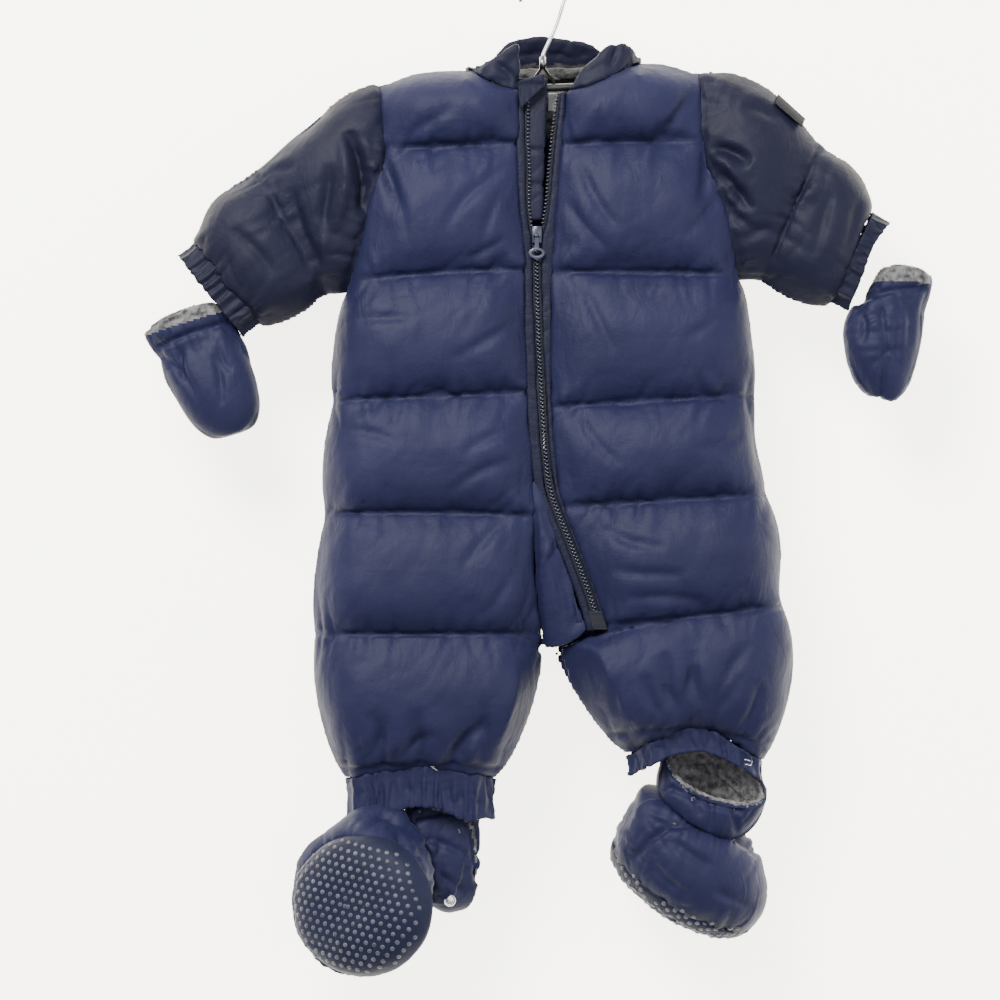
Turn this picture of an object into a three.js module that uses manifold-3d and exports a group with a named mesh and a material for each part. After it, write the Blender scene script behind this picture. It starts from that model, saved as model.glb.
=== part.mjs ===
// A padded baby snowsuit hanging on a small clothes hanger.
// Millimetres, +Z up, and the front faces -Y. x is 0 below the hook, y is 0 in the plane of the hanger, and z is 0
// where the hook rests on its rail. Right and left are the wearer's, so the right side has negative x.
import * as THREE from "three";
import { mergeVertices } from "three/addons/utils/BufferGeometryUtils.js";
import Module from "manifold-3d";

const wasm = await Module();
wasm.setup();

const { lerp: mix, clamp, degToRad } = THREE.MathUtils;
const point = (x, y, z) => new THREE.Vector3(x, y, z);

// Cloth thickness and the clearance that neighbouring pieces keep.
const GAP = 0.3;
const SEAM_WALL = 3.5;
const PUFF = 19;
const SIDE_PUFF_SHARE = 0.35;
const SIDE_TAPER = 30;
const CENTRE_TAPER = 20;

// Where the rows of a baffle lie between its two stitch lines. Its belly hangs low, as the filling settles.
const BAFFLE_STEPS = [0, 0.14, 0.46, 0.85];
const BELLY_DROP = 1.25;
const BELLY_FULLNESS = 0.55;
const SHOULDER_FULLNESS = 0.12;

// Half the depth of the hollow between the front and the back, by height.
const HOLLOW = [
  { z: -80, half: 13 },
  { z: -140, half: 16 },
  { z: -240, half: 18 },
  { z: -420, half: 20 },
  { z: -520, half: 20 },
  { z: -570, half: 18 },
  { z: -612, half: 14 },
];

// The top of the hanger's bar carries the shoulder seams. The bar hangs a little higher on the left.
const BAR_TOP = -86.5;
const BAR_SLOPE = 0.038;
const barTop = (x) => BAR_TOP + BAR_SLOPE * x;
const shoulderLine = (x) => barTop(x) + 0.9;
const NECK_FRONT_Z = -94;
const NECK_BACK_Z = -90;
const BACK_MIDDLE_X = 1;

// Each side's cut. `edge` is the inside of the armhole and then of the side seam, as a distance from the middle.
// `centre` is the front's inner edge: along the zip while open is 1, and the inseam where open is 0.
// `seams` are the stitch lines from the shoulder to the ankle: their height at the outer edge, at the front's inner
// edge and at the back's, and how far they arch up between.
const RIGHT = {
  name: "right",
  sign: -1,
  neckX: -58,
  edge: [
    { z: -91, x: 122 },
    { z: -117, x: 121 },
    { z: -147, x: 122 },
    { z: -177, x: 129 },
    { z: -207, x: 138 },
    { z: -240, x: 145 },
    { z: -285, x: 149 },
    { z: -325, x: 154 },
    { z: -365, x: 157 },
    { z: -410, x: 160 },
    { z: -455, x: 163 },
    { z: -505, x: 168 },
    { z: -550, x: 163 },
    { z: -585, x: 155 },
    { z: -611, x: 146 },
  ],
  centre: [
    { z: -94, x: -18, open: 1 },
    { z: -139, x: -20, open: 1 },
    { z: -177, x: -18, open: 1 },
    { z: -222, x: -14, open: 1 },
    { z: -275, x: -13.5, open: 1 },
    { z: -321, x: -12.5, open: 1 },
    { z: -365, x: -10, open: 1 },
    { z: -398, x: -6, open: 1 },
    { z: -420, x: -8, open: 0.95 },
    { z: -460, x: -8, open: 0.8 },
    { z: -501, x: -5, open: 0.4 },
    { z: -514, x: -5, open: 0 },
    { z: -535, x: -10, open: 0 },
    { z: -560, x: -16, open: 0 },
    { z: -585, x: -25, open: 0 },
    { z: -612, x: -38, open: 0 },
  ],
  seams: [
    { outer: -91, inner: -94, back: -90, rise: 0 },
    { outer: -139.5, inner: -132, back: -136, rise: 0 },
    { outer: -240, inner: -228, back: -236, rise: 3 },
    { outer: -327, inner: -319.5, back: -326, rise: 0 },
    { outer: -411, inner: -413, back: -414, rise: 2 },
    { outer: -501, inner: -501, back: -501, rise: 0 },
    { outer: -611, inner: -612, back: -612, rise: 9 },
  ],
};

const LEFT = {
  name: "left",
  sign: 1,
  neckX: 73,
  edge: [
    { z: -82, x: 117 },
    { z: -102, x: 119 },
    { z: -130, x: 122 },
    { z: -158, x: 131 },
    { z: -184, x: 138 },
    { z: -232, x: 146 },
    { z: -262, x: 149 },
    { z: -284, x: 146 },
    { z: -318, x: 156 },
    { z: -362, x: 149 },
    { z: -385, x: 160 },
    { z: -430, x: 172 },
    { z: -465, x: 170 },
    { z: -490, x: 181 },
    { z: -520, x: 183 },
    { z: -560, x: 176 },
    { z: -598, x: 163 },
  ],
  centre: [
    { z: -94, x: 17, open: 1 },
    { z: -141, x: 14, open: 1 },
    { z: -177, x: 11, open: 1 },
    { z: -222, x: 7.5, open: 1 },
    { z: -275, x: 6, open: 1 },
    { z: -321, x: 6, open: 1 },
    { z: -365, x: 9, open: 1 },
    { z: -398, x: 13, open: 1 },
    { z: -418, x: 20, open: 1 },
    { z: -435, x: 27, open: 1 },
    { z: -464, x: 38, open: 1 },
    { z: -480, x: 43.5, open: 1 },
    { z: -499, x: 49, open: 1 },
    { z: -507, x: 34, open: 0.7 },
    { z: -516, x: 12, open: 0 },
    { z: -526, x: 18, open: 0 },
    { z: -543, x: 29, open: 0 },
    { z: -561, x: 40, open: 0 },
    { z: -579, x: 53, open: 0 },
    { z: -594, x: 66, open: 0 },
  ],
  seams: [
    { outer: -82, inner: -94, back: -90, rise: 0 },
    { outer: -130, inner: -133.5, back: -132, rise: 0 },
    { outer: -232, inner: -229.5, back: -232, rise: 0 },
    { outer: -321, inner: -331, back: -326, rise: 0 },
    { outer: -396, inner: -406, back: -404, rise: 0 },
    { outer: -479, inner: -499, back: -499, rise: 0 },
    { outer: -598, inner: -594, back: -594, rise: 24 },
  ],
};

// The back's inner edge runs down the middle, and joins the front at the inseam below the crotch.
const BACK_OPENS = -488;
const CROTCH_Z = -515;

const smooth = (t) => {
  const s = clamp(t, 0, 1);
  return s * s * (3 - 2 * s);
};
const round = (t) => Math.sqrt(1 - (1 - clamp(t, 0, 1)) ** 2);
const belly = (t) => Math.sin(Math.PI * t ** BELLY_DROP) ** BELLY_FULLNESS;

// The value of a table's column where its key is `at`, on a smooth line that never overshoots the rows.
function read(table, key, column, at) {
  const last = table.length - 1;
  const down = table[last][key] < table[0][key] ? -1 : 1;
  let i = 0;
  while (i < last - 1 && (at - table[i + 1][key]) * down > 0) i += 1;
  const slope = (j) => (table[j + 1][column] - table[j][column]) / (table[j + 1][key] - table[j][key]);
  const tangent = (j) => {
    if (j === 0) return slope(0);
    if (j === last) return slope(last - 1);
    const [a, b] = [slope(j - 1), slope(j)];
    return a * b <= 0 ? 0 : (2 * a * b) / (a + b);
  };
  const [a, b] = [table[i], table[i + 1]];
  const width = b[key] - a[key];
  const t = clamp((at - a[key]) / width, 0, 1);
  const rise = t * t * (3 - 2 * t);
  const bend = t * (1 - t) * width * (tangent(i) * (1 - t) - tangent(i + 1) * t);
  return a[column] + (b[column] - a[column]) * rise + bend;
}

const hollowAt = (z) => read(HOLLOW, "z", "half", z);

// A wall of cloth. Each row is a list of stations, and a station has a point on the inside and one on the outside.
// A closed wall goes round a tube. A capped one is also shut at its last row.
function wallGeometry(rows, { closed = false, capped = false } = {}) {
  const across = rows[0].length;
  const last = rows.length - 1;
  const spans = closed ? across : across - 1;
  const points = rows.flatMap((row) => row.flatMap((s) => [s.inside, s.outside]));
  const index = (row, column, outer) => 2 * (row * across + (column % across)) + outer;
  const faces = [];
  const quad = (a, b, c, d) => faces.push(a, b, c, a, c, d);
  for (let c = 0; c < spans; c += 1) {
    for (let r = 0; r < last; r += 1) {
      quad(index(r, c, 1), index(r, c + 1, 1), index(r + 1, c + 1, 1), index(r + 1, c, 1));
      quad(index(r, c, 0), index(r + 1, c, 0), index(r + 1, c + 1, 0), index(r, c + 1, 0));
    }
    quad(index(0, c, 0), index(0, c + 1, 0), index(0, c + 1, 1), index(0, c, 1));
    if (!capped) quad(index(last, c, 1), index(last, c + 1, 1), index(last, c + 1, 0), index(last, c, 0));
  }
  if (!closed) {
    for (let r = 0; r < last; r += 1) {
      quad(index(r, 0, 0), index(r, 0, 1), index(r + 1, 0, 1), index(r + 1, 0, 0));
      quad(index(r, spans, 1), index(r, spans, 0), index(r + 1, spans, 0), index(r + 1, spans, 1));
    }
  }
  if (capped) {
    for (const outer of [0, 1]) {
      const middle = points.length;
      const ring = rows[last].map((s) => (outer ? s.outside : s.inside));
      points.push(ring.reduce((sum, p) => sum.add(p), point(0, 0, 0)).divideScalar(across));
      for (let c = 0; c < across; c += 1) {
        const [a, b] = [index(last, c, outer), index(last, c + 1, outer)];
        faces.push(...(outer ? [a, b, middle] : [b, a, middle]));
      }
    }
  }
  return facingOut(points, faces);
}

// A geometry from points and triangles, turned round if its volume is negative.
function facingOut(points, faces) {
  let volume = 0;
  for (let i = 0; i < faces.length; i += 3) {
    const [a, b, c] = [points[faces[i]], points[faces[i + 1]], points[faces[i + 2]]];
    volume += a.dot(b.clone().cross(c));
  }
  const triangles = volume < 0 ? faces.toReversed() : faces;
  const geometry = new THREE.BufferGeometry();
  geometry.setAttribute("position", new THREE.Float32BufferAttribute(points.flatMap((p) => p.toArray()), 3));
  geometry.setIndex(triangles);
  return geometry;
}

// Stations from a grid of inside points. The outside lies `thickness` away, on the side that faces `away` from the
// hollow, and `turned` may give a seam's own direction for a station. Given axes keep an end row's walls square to
// them. A piece that folds over gives no `away` but a `side`, 1 or -1, of its grid.
function padded(grid, { thickness, away, side, closed = false, turned = () => null, startAxis, endAxis }) {
  const [last, across] = [grid.length - 1, grid[0].length];
  return grid.map((row, r) =>
    row.map((inside, c) => {
      const before = closed ? (c + across - 1) % across : Math.max(c - 1, 0);
      const after = closed ? (c + 1) % across : Math.min(c + 1, across - 1);
      const along = row[after].clone().sub(row[before]);
      const axis = { 0: startAxis, [last]: endAxis }[r];
      const downward = axis ?? grid[Math.min(r + 1, last)][c].clone().sub(grid[Math.max(r - 1, 0)][c]);
      const normal = along.cross(downward).normalize();
      if ((side ?? normal.dot(away(r, c, inside))) < 0) normal.negate();
      const direction = turned(r, c) ?? normal;
      return { inside, outside: inside.clone().addScaledVector(direction, thickness(r, c)) };
    }),
  );
}

const moved = (station, shift) => ({
  inside: station.inside.clone().add(shift),
  outside: station.outside.clone().add(shift),
});

// manifold-3d solids, to join pieces.
function solid(geometry) {
  const bare = geometry.clone();
  bare.deleteAttribute("normal");
  bare.deleteAttribute("uv");
  const merged = mergeVertices(bare, 1e-4);
  return new wasm.Manifold(
    new wasm.Mesh({
      numProp: 3,
      vertProperties: merged.attributes.position.array,
      triVerts: new Uint32Array(merged.index.array),
    }),
  );
}

function geometryOf(manifold) {
  const mesh = manifold.getMesh();
  const geometry = new THREE.BufferGeometry();
  geometry.setAttribute("position", new THREE.BufferAttribute(new Float32Array(mesh.vertProperties), 3));
  geometry.setIndex(new THREE.BufferAttribute(new Uint32Array(mesh.triVerts), 1));
  return geometry;
}

const joined = (...geometries) => geometryOf(geometries.map(solid).reduce((all, next) => all.add(next)));

const snowsuit = new THREE.Group();
snowsuit.name = "baby_snowsuit_on_hanger";

const NAVY = { color: 0x34375a, roughness: 0.5, metalness: 0 };
const DARK_NAVY = { color: 0x2b2d42, roughness: 0.55, metalness: 0 };
const FLEECE = { color: 0x5d5f61, roughness: 1, metalness: 0 };
const GRIP_SOLE = { color: 0x262838, roughness: 0.7, metalness: 0 };
const BLACK_PLASTIC = { color: 0x1b1715, roughness: 0.35, metalness: 0 };
const STEEL = { color: 0xb9bcc0, roughness: 0.25, metalness: 1 };
const ZIP_METAL = { color: 0x4c5470, roughness: 0.35, metalness: 0.6 };
const LABEL = { color: 0xc9cdc4, roughness: 0.8, metalness: 0 };

function add(name, geometry, finish) {
  const mesh = new THREE.Mesh(geometry, new THREE.MeshStandardMaterial(finish));
  mesh.name = name;
  snowsuit.add(mesh);
  return mesh;
}

// Rows of a quilted piece with `baffles` baffles: which baffle, and how far down it.
const quiltRows = (baffles) =>
  [...Array(baffles).keys()]
    .flatMap((baffle) => BAFFLE_STEPS.map((t) => ({ baffle, t })))
    .concat({ baffle: baffles - 1, t: 1 });

// Body panels: front and back, right and left, each from the shoulder to the ankle in six baffles.
const BODY_ROWS = quiltRows(6);
const ARMHOLE_ROWS = BODY_ROWS.findIndex((row) => row.baffle === 2);
const FRONT = -1;
const BACK = 1;
const OUTER_COLUMNS = [0, 0.07, 0.2, 0.42, 0.72];
const NECK_COLUMNS = [0, 0.12, 0.35, 0.7, 1];

function centreEdge(side, face, z) {
  if (face === FRONT || z < CROTCH_Z) {
    return { x: read(side.centre, "z", "x", z), open: read(side.centre, "z", "open", z) };
  }
  const inseamX = read(side.centre, "z", "x", CROTCH_Z);
  const closing = smooth((BACK_OPENS - z) / (BACK_OPENS - CROTCH_Z));
  return { x: mix(BACK_MIDDLE_X + side.sign * (GAP / 2), inseamX, closing), open: 1 - closing };
}

// How far round the armhole a height lies: 1 at its top and -1 at its bottom.
function armholeTurn(side, z) {
  const [top, bottom] = [side.seams[0].outer, side.seams[2].outer];
  return clamp((2 * z - top - bottom) / (top - bottom), -1, 1);
}
const armholeOpen = (turn) => (1 - turn * turn) ** 0.4;

// The direction of the armhole seam's edge: up at the shoulder, forwards or backwards, and down under the arm.
function armholeDirection(side, face, turn) {
  const tip = turn > 0 ? point(side.sign * 0.3, 0, 0.95) : point(side.sign * 0.45, 0, -0.89);
  return tip.multiplyScalar(Math.abs(turn) ** 2).add(point(0, face * armholeOpen(turn), 0)).normalize();
}

function bodyPanel(side, face) {
  const [top] = side.seams;
  const innerKey = face === FRONT ? "inner" : "back";
  const neckZ = face === FRONT ? NECK_FRONT_Z : NECK_BACK_Z;
  const topOuterX = side.sign * read(side.edge, "z", "x", top.outer);
  const topCentre = centreEdge(side, face, neckZ);
  const neckShare = (side.neckX - topOuterX) / (topCentre.x - topOuterX);
  const columns = [
    ...OUTER_COLUMNS.map((share) => share * neckShare),
    ...NECK_COLUMNS.map((share) => mix(neckShare, 1, share)),
  ];
  const neckAt = (u) => clamp((u - neckShare) / (1 - neckShare), 0, 1);
  const topZ = (u) => mix(shoulderLine(mix(topOuterX, topCentre.x, u)), neckZ, smooth(neckAt(u)));
  const places = BODY_ROWS.map(({ baffle, t }) => {
    const [above, below] = [side.seams[baffle], side.seams[baffle + 1]];
    const outerZ = mix(above.outer, below.outer, t);
    const innerZ = mix(above[innerKey], below[innerKey], t);
    return columns.map((u) => {
      const arch = Math.sin(Math.PI * u) * mix(above.rise, below.rise, t);
      const straight = mix(outerZ, innerZ, u) + arch;
      const z = baffle === 0 ? mix(topZ(u), mix(below.outer, below[innerKey], u) + arch, t) : straight;
      const outerX = side.sign * read(side.edge, "z", "x", outerZ);
      const centre = centreEdge(side, face, innerZ);
      const x = mix(outerX, centre.x, u);
      const half = hollowAt(z);
      const neck = round(neckAt(u));
      const underTop = mix(neck, 1, baffle === 0 ? round((topZ(u) - z) / half) : 1);
      const inwards = mix(round(Math.abs(x - centre.x) / half), 1, centre.open);
      const atArm = baffle < 2 ? armholeOpen(armholeTurn(side, outerZ)) : 0;
      const depth = mix(atArm, underTop * inwards, round(Math.abs(x - outerX) / half));
      return {
        inside: point(x, face * (half * depth + GAP / 2), z),
        middle: point((outerX + centre.x) / 2, 0, z),
        fromSide: Math.abs(x - outerX),
        fromCentre: Math.abs(x - centre.x),
        open: centre.open,
        turn: armholeTurn(side, outerZ),
        neck,
      };
    });
  });
  const lastColumn = columns.length - 1;
  return padded(
    places.map((row) => row.map((place) => place.inside)),
    {
      endAxis: point(0, 0, -1),
      away: (r, c, inside) => inside.clone().sub(places[r][c].middle),
      thickness(r, c) {
        const { baffle, t } = BODY_ROWS[r];
        const { fromSide, fromCentre, open } = places[r][c];
        const atSide = baffle < 2 ? 0 : SIDE_PUFF_SHARE;
        const atEdge = mix(atSide, 1, smooth(fromSide / SIDE_TAPER));
        const atCentre = mix(SIDE_PUFF_SHARE * (1 - open), 1, smooth(fromCentre / CENTRE_TAPER));
        const down = baffle === 0 ? mix(SHOULDER_FULLNESS, 1, t) : t;
        return SEAM_WALL + PUFF * belly(down) * atEdge * atCentre;
      },
      turned(r, c) {
        const { open, turn, neck } = places[r][c];
        if (c === 0 && r <= ARMHOLE_ROWS) return armholeDirection(side, face, turn);
        if (c === 0) return point(side.sign, 0, 0);
        if (r === 0) return point(0, face * neck, 1 - neck).normalize();
        if (c === lastColumn) return point(-side.sign * (1 - open), face * open, 0).normalize();
        return null;
      },
    },
  );
}

const body = {};
for (const side of [RIGHT, LEFT]) {
  body[side.name] = { front: bodyPanel(side, FRONT), back: bodyPanel(side, BACK) };
  add(`front_${side.name}`, wallGeometry(body[side.name].front), NAVY);
  add(`back_${side.name}`, wallGeometry(body[side.name].back), NAVY);
}

// A ring of stations from a front row or column and the matching back one, both from the outer or upper end.
function ringOf(front, back) {
  const ends = (a, b) => ({
    inside: a.inside.clone().lerp(b.inside, 0.5),
    outside: a.outside.clone().lerp(b.outside, 0.5),
  });
  const last = front.length - 1;
  return [
    ends(front[0], back[0]),
    ...front.slice(1, last),
    ends(front[last], back[last]),
    ...back.slice(1, last).reverse(),
  ];
}

// A station part of the way between two others.
const between = (a, b, t) => ({
  inside: a.inside.clone().lerp(b.inside, t),
  outside: a.outside.clone().lerp(b.outside, t),
});

// The station at a row and a column that may lie between the grid's own.
function stationAt(rows, row, column) {
  const [r, c] = [Math.min(Math.floor(row), rows.length - 2), Math.min(Math.floor(column), rows[0].length - 2)];
  const upper = between(rows[r][c], rows[r][c + 1], column - c);
  const lower = between(rows[r + 1][c], rows[r + 1][c + 1], column - c);
  return between(upper, lower, row - r);
}

// An elastic band that hangs on a ring of stations. Each of the ring's spans is parted into pairs of short ones, a
// ridge and a dip, so the band's edge keeps to the ring's. `steps` tell how far down the band a row is, how much
// narrower than the ring, and how deep the gathers are.
const GATHER_PITCH = 9.5;
const BAND_STEPS = [
  { down: 0, shrink: 0, wall: 3.2, depth: 0.3 },
  { down: 0.3, shrink: 0.035, wall: 2.8, depth: 1.2 },
  { down: 0.75, shrink: 0.04, wall: 2.8, depth: 1.2 },
  { down: 1, shrink: 0.01, wall: 3, depth: 0.7 },
];
const BAND_GAP = 0.5;
function gatheredBand(ring, fall) {
  const centre = ring.reduce((sum, s) => sum.add(s.inside), point(0, 0, 0)).divideScalar(ring.length);
  const fine = ring.flatMap((s, i) => {
    const next = ring[(i + 1) % ring.length];
    const pairs = Math.max(1, Math.round(s.inside.distanceTo(next.inside) / GATHER_PITCH));
    return [...Array(2 * pairs).keys()].map((k) => between(s, next, k / (2 * pairs)));
  });
  return BAND_STEPS.map(({ down, shrink, wall, depth }) =>
    fine.map((s, k) => {
      const outwards = s.outside.clone().sub(s.inside).normalize();
      const fallen = fall(s.inside, down).addScaledVector(fall(s.inside, 1).normalize(), BAND_GAP);
      const inside = s.inside.clone().lerp(centre, shrink).add(fallen);
      const ridge = k % 2 === 0 ? depth : -depth;
      return { inside, outside: inside.clone().addScaledVector(outwards, wall + ridge) };
    }),
  );
}

// Sleeves. The hollow's upper and lower edges and half its depth, from the armhole at 0 to the cuff at 1.
const SLEEVE_PUFF = 13;
const SLEEVE_BAFFLES = [0, 0.6, 1];
const SLEEVES = {
  right: [
    { along: 0, topX: -122, topZ: -91, underX: -145, underZ: -240, half: 16 },
    { along: 0.25, topX: -145, topZ: -103, underX: -151, underZ: -239, half: 15 },
    { along: 0.5, topX: -184, topZ: -134, underX: -158, underZ: -239, half: 14 },
    { along: 0.6, topX: -214, topZ: -158, underX: -166, underZ: -241, half: 13 },
    { along: 0.8, topX: -239, topZ: -179, underX: -191, underZ: -252, half: 12 },
    { along: 1, topX: -260, topZ: -207, underX: -214, underZ: -264, half: 11 },
  ],
  left: [
    { along: 0, topX: 117, topZ: -82, underX: 146, underZ: -232, half: 16 },
    { along: 0.25, topX: 151, topZ: -88, underX: 152, underZ: -231, half: 15 },
    { along: 0.5, topX: 190, topZ: -119, underX: 159, underZ: -229, half: 14 },
    { along: 0.6, topX: 207, topZ: -137, underX: 167, underZ: -231, half: 13 },
    { along: 0.8, topX: 231, topZ: -162, underX: 192, underZ: -239, half: 12 },
    { along: 1, topX: 247, topZ: -186, underX: 217, underZ: -248, half: 11 },
  ],
};

const column = (rows, c) => rows.map((row) => row[c]);

function sleeveWall(side) {
  const table = SLEEVES[side.name];
  const { front, back } = body[side.name];
  const armhole = ringOf(column(front, 0).slice(0, ARMHOLE_ROWS + 1), column(back, 0).slice(0, ARMHOLE_ROWS + 1));
  const turns = BODY_ROWS.slice(0, ARMHOLE_ROWS + 1).map(({ baffle, t }) =>
    armholeTurn(side, mix(side.seams[baffle].outer, side.seams[baffle + 1].outer, t)),
  );
  const around = [
    ...turns.map((turn) => ({ turn, face: FRONT })),
    ...turns.slice(1, -1).reverse().map((turn) => ({ turn, face: BACK })),
  ];
  const rows = quiltRows(2).map((row) => ({
    ...row,
    along: mix(SLEEVE_BAFFLES[row.baffle], SLEEVE_BAFFLES[row.baffle + 1], row.t),
  }));
  const place = (along, { turn, face }) => {
    const at = (name) => read(table, "along", name, along);
    const across = (1 - turn) / 2;
    const y = face * at("half") * armholeOpen(turn);
    return point(mix(at("topX"), at("underX"), across), y, mix(at("topZ"), at("underZ"), across));
  };
  const offsets = around.map((k, i) => armhole[i].inside.clone().sub(place(0, k)));
  const grid = rows.map(({ along }) =>
    around.map((k, i) => place(along, k).addScaledVector(offsets[i], 1 - smooth(along / 0.4))),
  );
  const last = table.at(-1);
  const cuffAxis = point(last.underX - last.topX, 0, last.underZ - last.topZ).cross(point(0, side.sign, 0));
  const wall = padded(grid, {
    closed: true,
    endAxis: cuffAxis.normalize(),
    away: (r, c, inside) => {
      const at = (name) => read(table, "along", name, rows[r].along);
      return inside.clone().sub(point((at("topX") + at("underX")) / 2, 0, (at("topZ") + at("underZ")) / 2));
    },
    thickness(r, c) {
      const { along, t } = rows[r];
      const { turn } = around[c];
      const underarm = mix(smooth((turn + 1) / 0.9), 1, smooth(along - 0.2));
      const overTop = mix(1, 0.6, smooth((turn - 0.6) / 0.4));
      return SEAM_WALL + SLEEVE_PUFF * belly(t) * underarm * overTop;
    },
  });
  wall[0] = armhole.map((s) => moved(s, point(side.sign * 0.45, 0, 0)));
  return { wall, cuffAxis };
}

const sleeves = {};
const CUFF_LENGTH = { right: 18, left: 17 };
for (const side of [RIGHT, LEFT]) {
  const { wall, cuffAxis } = sleeveWall(side);
  sleeves[side.name] = wall;
  add(`sleeve_${side.name}`, wallGeometry(wall, { closed: true }), DARK_NAVY);
  const fall = (inside, down) => cuffAxis.clone().multiplyScalar(CUFF_LENGTH[side.name] * down);
  add(`cuff_${side.name}`, wallGeometry(gatheredBand(wall.at(-1), fall), { closed: true }), DARK_NAVY);
}

// Leg cuffs, which hang on the ankles' rings. The left one is seen a little from below, so its front is shorter.
const LEG_CUFFS = {
  right: { middle: 22, ends: 30, lean: 0 },
  left: { middle: 17, ends: 15, lean: 1 },
};
const ankles = {};
for (const side of [RIGHT, LEFT]) {
  const { front, back } = body[side.name];
  const ring = ringOf(front.at(-1), back.at(-1));
  ankles[side.name] = ring;
  const { middle, ends, lean } = LEG_CUFFS[side.name];
  const [outer, inner] = [ring[0].inside.x, ring[front[0].length - 1].inside.x];
  const fall = (inside, down) => {
    const across = clamp((inside.x - outer) / (inner - outer), 0, 1);
    const length = mix(ends, middle, Math.sin(Math.PI * across));
    return point(lean * down, 0, -length * down);
  };
  add(`leg_cuff_${side.name}`, wallGeometry(gatheredBand(ring, fall), { closed: true }), NAVY);
}

// A wall lofted through rings. Each ring lies `rise` along the frame's up axis from its origin, has its centre `shift`
// along the long axis and `slide` along the wide one, and is `long` and `wide` from its centre to its ends. `lift` and
// `tip` raise its long and its wide end.
const LOFT_COLUMNS = 16;
function loft(frame, rows, { count = LOFT_COLUMNS, wall, ripple = () => 0 }) {
  const grid = rows.map((row) =>
    [...Array(count).keys()].map((k) => {
      const angle = (2 * Math.PI * k) / count;
      return frame.origin
        .clone()
        .addScaledVector(frame.up, row.rise + (row.lift ?? 0) * Math.cos(angle) + (row.tip ?? 0) * Math.sin(angle))
        .addScaledVector(frame.long, (row.shift ?? 0) + row.long * Math.cos(angle))
        .addScaledVector(frame.wide, (row.slide ?? 0) + row.wide * Math.sin(angle));
    }),
  );
  return padded(grid, {
    closed: true,
    startAxis: frame.up,
    endAxis: frame.up,
    away: (r, c, inside) =>
      inside
        .clone()
        .sub(frame.origin)
        .addScaledVector(frame.up, -rows[r].rise)
        .addScaledVector(frame.long, -(rows[r].shift ?? 0))
        .addScaledVector(frame.wide, -(rows[r].slide ?? 0)),
    thickness: (r, c) => wall(rows[r]) + ripple(rows[r], c),
  });
}

const frameOf = (origin, up, long) => {
  const upwards = up.clone().normalize();
  const lengthwise = long.clone().addScaledVector(upwards, -long.dot(upwards)).normalize();
  return { origin, up: upwards, long: lengthwise, wide: upwards.clone().cross(lengthwise) };
};

// Mittens, from the mouth to the tip. `gather` is the depth of the elastic's gathers.
const MITTENS = {
  right: {
    frame: frameOf(point(-268.6, 2, -262.6), point(0.35, 0.03, -0.937), point(0.937, 0, 0.35)),
    rows: [
      { rise: 0, long: 28.5, wide: 7.5, shift: -2.4, wall: 4, tip: -5.5, gather: 0 },
      { rise: 9.2, long: 28, wide: 8.2, shift: -2.2, wall: 5.5, tip: -3.7, gather: 0.5 },
      { rise: 21, long: 25.7, wide: 8.1, shift: -1.3, wall: 3.5, gather: 1.1 },
      { rise: 32, long: 26, wide: 10, shift: -0.3, wall: 7, gather: 0.4 },
      { rise: 52, long: 25, wide: 12, wall: 8, shift: 0.5, gather: 0 },
      { rise: 72, long: 21.5, wide: 11, wall: 8, shift: 1.5, gather: 0 },
      { rise: 86, long: 14, wide: 8, wall: 8, shift: 2, gather: 0 },
      { rise: 94.5, long: 6, wide: 4, wall: 7.2, shift: 2.3, gather: 0 },
    ],
  },
  left: {
    frame: frameOf(point(275, 5, -230.5), point(-0.19, 0.04, -0.982), point(0.982, 0, -0.19)),
    rows: [
      { rise: 0, long: 17, wide: 9, wall: 3.5, tip: -6, gather: 0 },
      { rise: 8, long: 17.5, wide: 9, wall: 5, tip: -4, shift: -1, gather: 0.5 },
      { rise: 22, long: 17.5, wide: 9, wall: 3.5, shift: -4, gather: 1.1 },
      { rise: 36, long: 22.5, wide: 12, wall: 7, shift: -8.5, gather: 0.4 },
      { rise: 52, long: 23, wide: 13, wall: 8, shift: -9, gather: 0 },
      { rise: 70, long: 18.5, wide: 12, wall: 8, shift: -5.5, gather: 0 },
      { rise: 86, long: 11, wide: 8, wall: 8, shift: -1, gather: 0 },
      { rise: 95, long: 5, wide: 4, wall: 7, gather: 0 },
    ],
  },
};
const LINING = 2.6;
const ripples = (row, c) => (c % 2 === 0 ? row.gather : -row.gather);

// A fleece lining that shows at a mouth: it follows the wall's inside down from just above its edge.
function liningWall(wall, rows, { above }) {
  const lip = wall[0].map((s, c) => {
    const up = s.inside.clone().sub(wall[1][c].inside).normalize();
    return moved(s, up.multiplyScalar(above));
  });
  return [lip, ...wall.slice(0, rows)].map((row) => {
    const centre = row.reduce((sum, s) => sum.add(s.inside), point(0, 0, 0)).divideScalar(row.length);
    return row.map((s) => {
      const inwards = s.inside.clone().sub(s.outside).normalize();
      const outside = s.inside.clone().addScaledVector(inwards, 0.6);
      return { inside: outside.clone().addScaledVector(inwards, LINING).lerp(centre, 0.01), outside };
    });
  });
}

const mittens = {};
for (const side of [RIGHT, LEFT]) {
  const { frame, rows } = MITTENS[side.name];
  const wall = loft(frame, rows, { wall: (row) => row.wall, ripple: ripples });
  mittens[side.name] = wall;
  add(`mitten_${side.name}`, wallGeometry(wall, { closed: true, capped: true }), DARK_NAVY);
  add(`mitten_lining_${side.name}`, wallGeometry(liningWall(wall, 3, { above: 1.5 }), { closed: true }), FLEECE);
}

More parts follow.
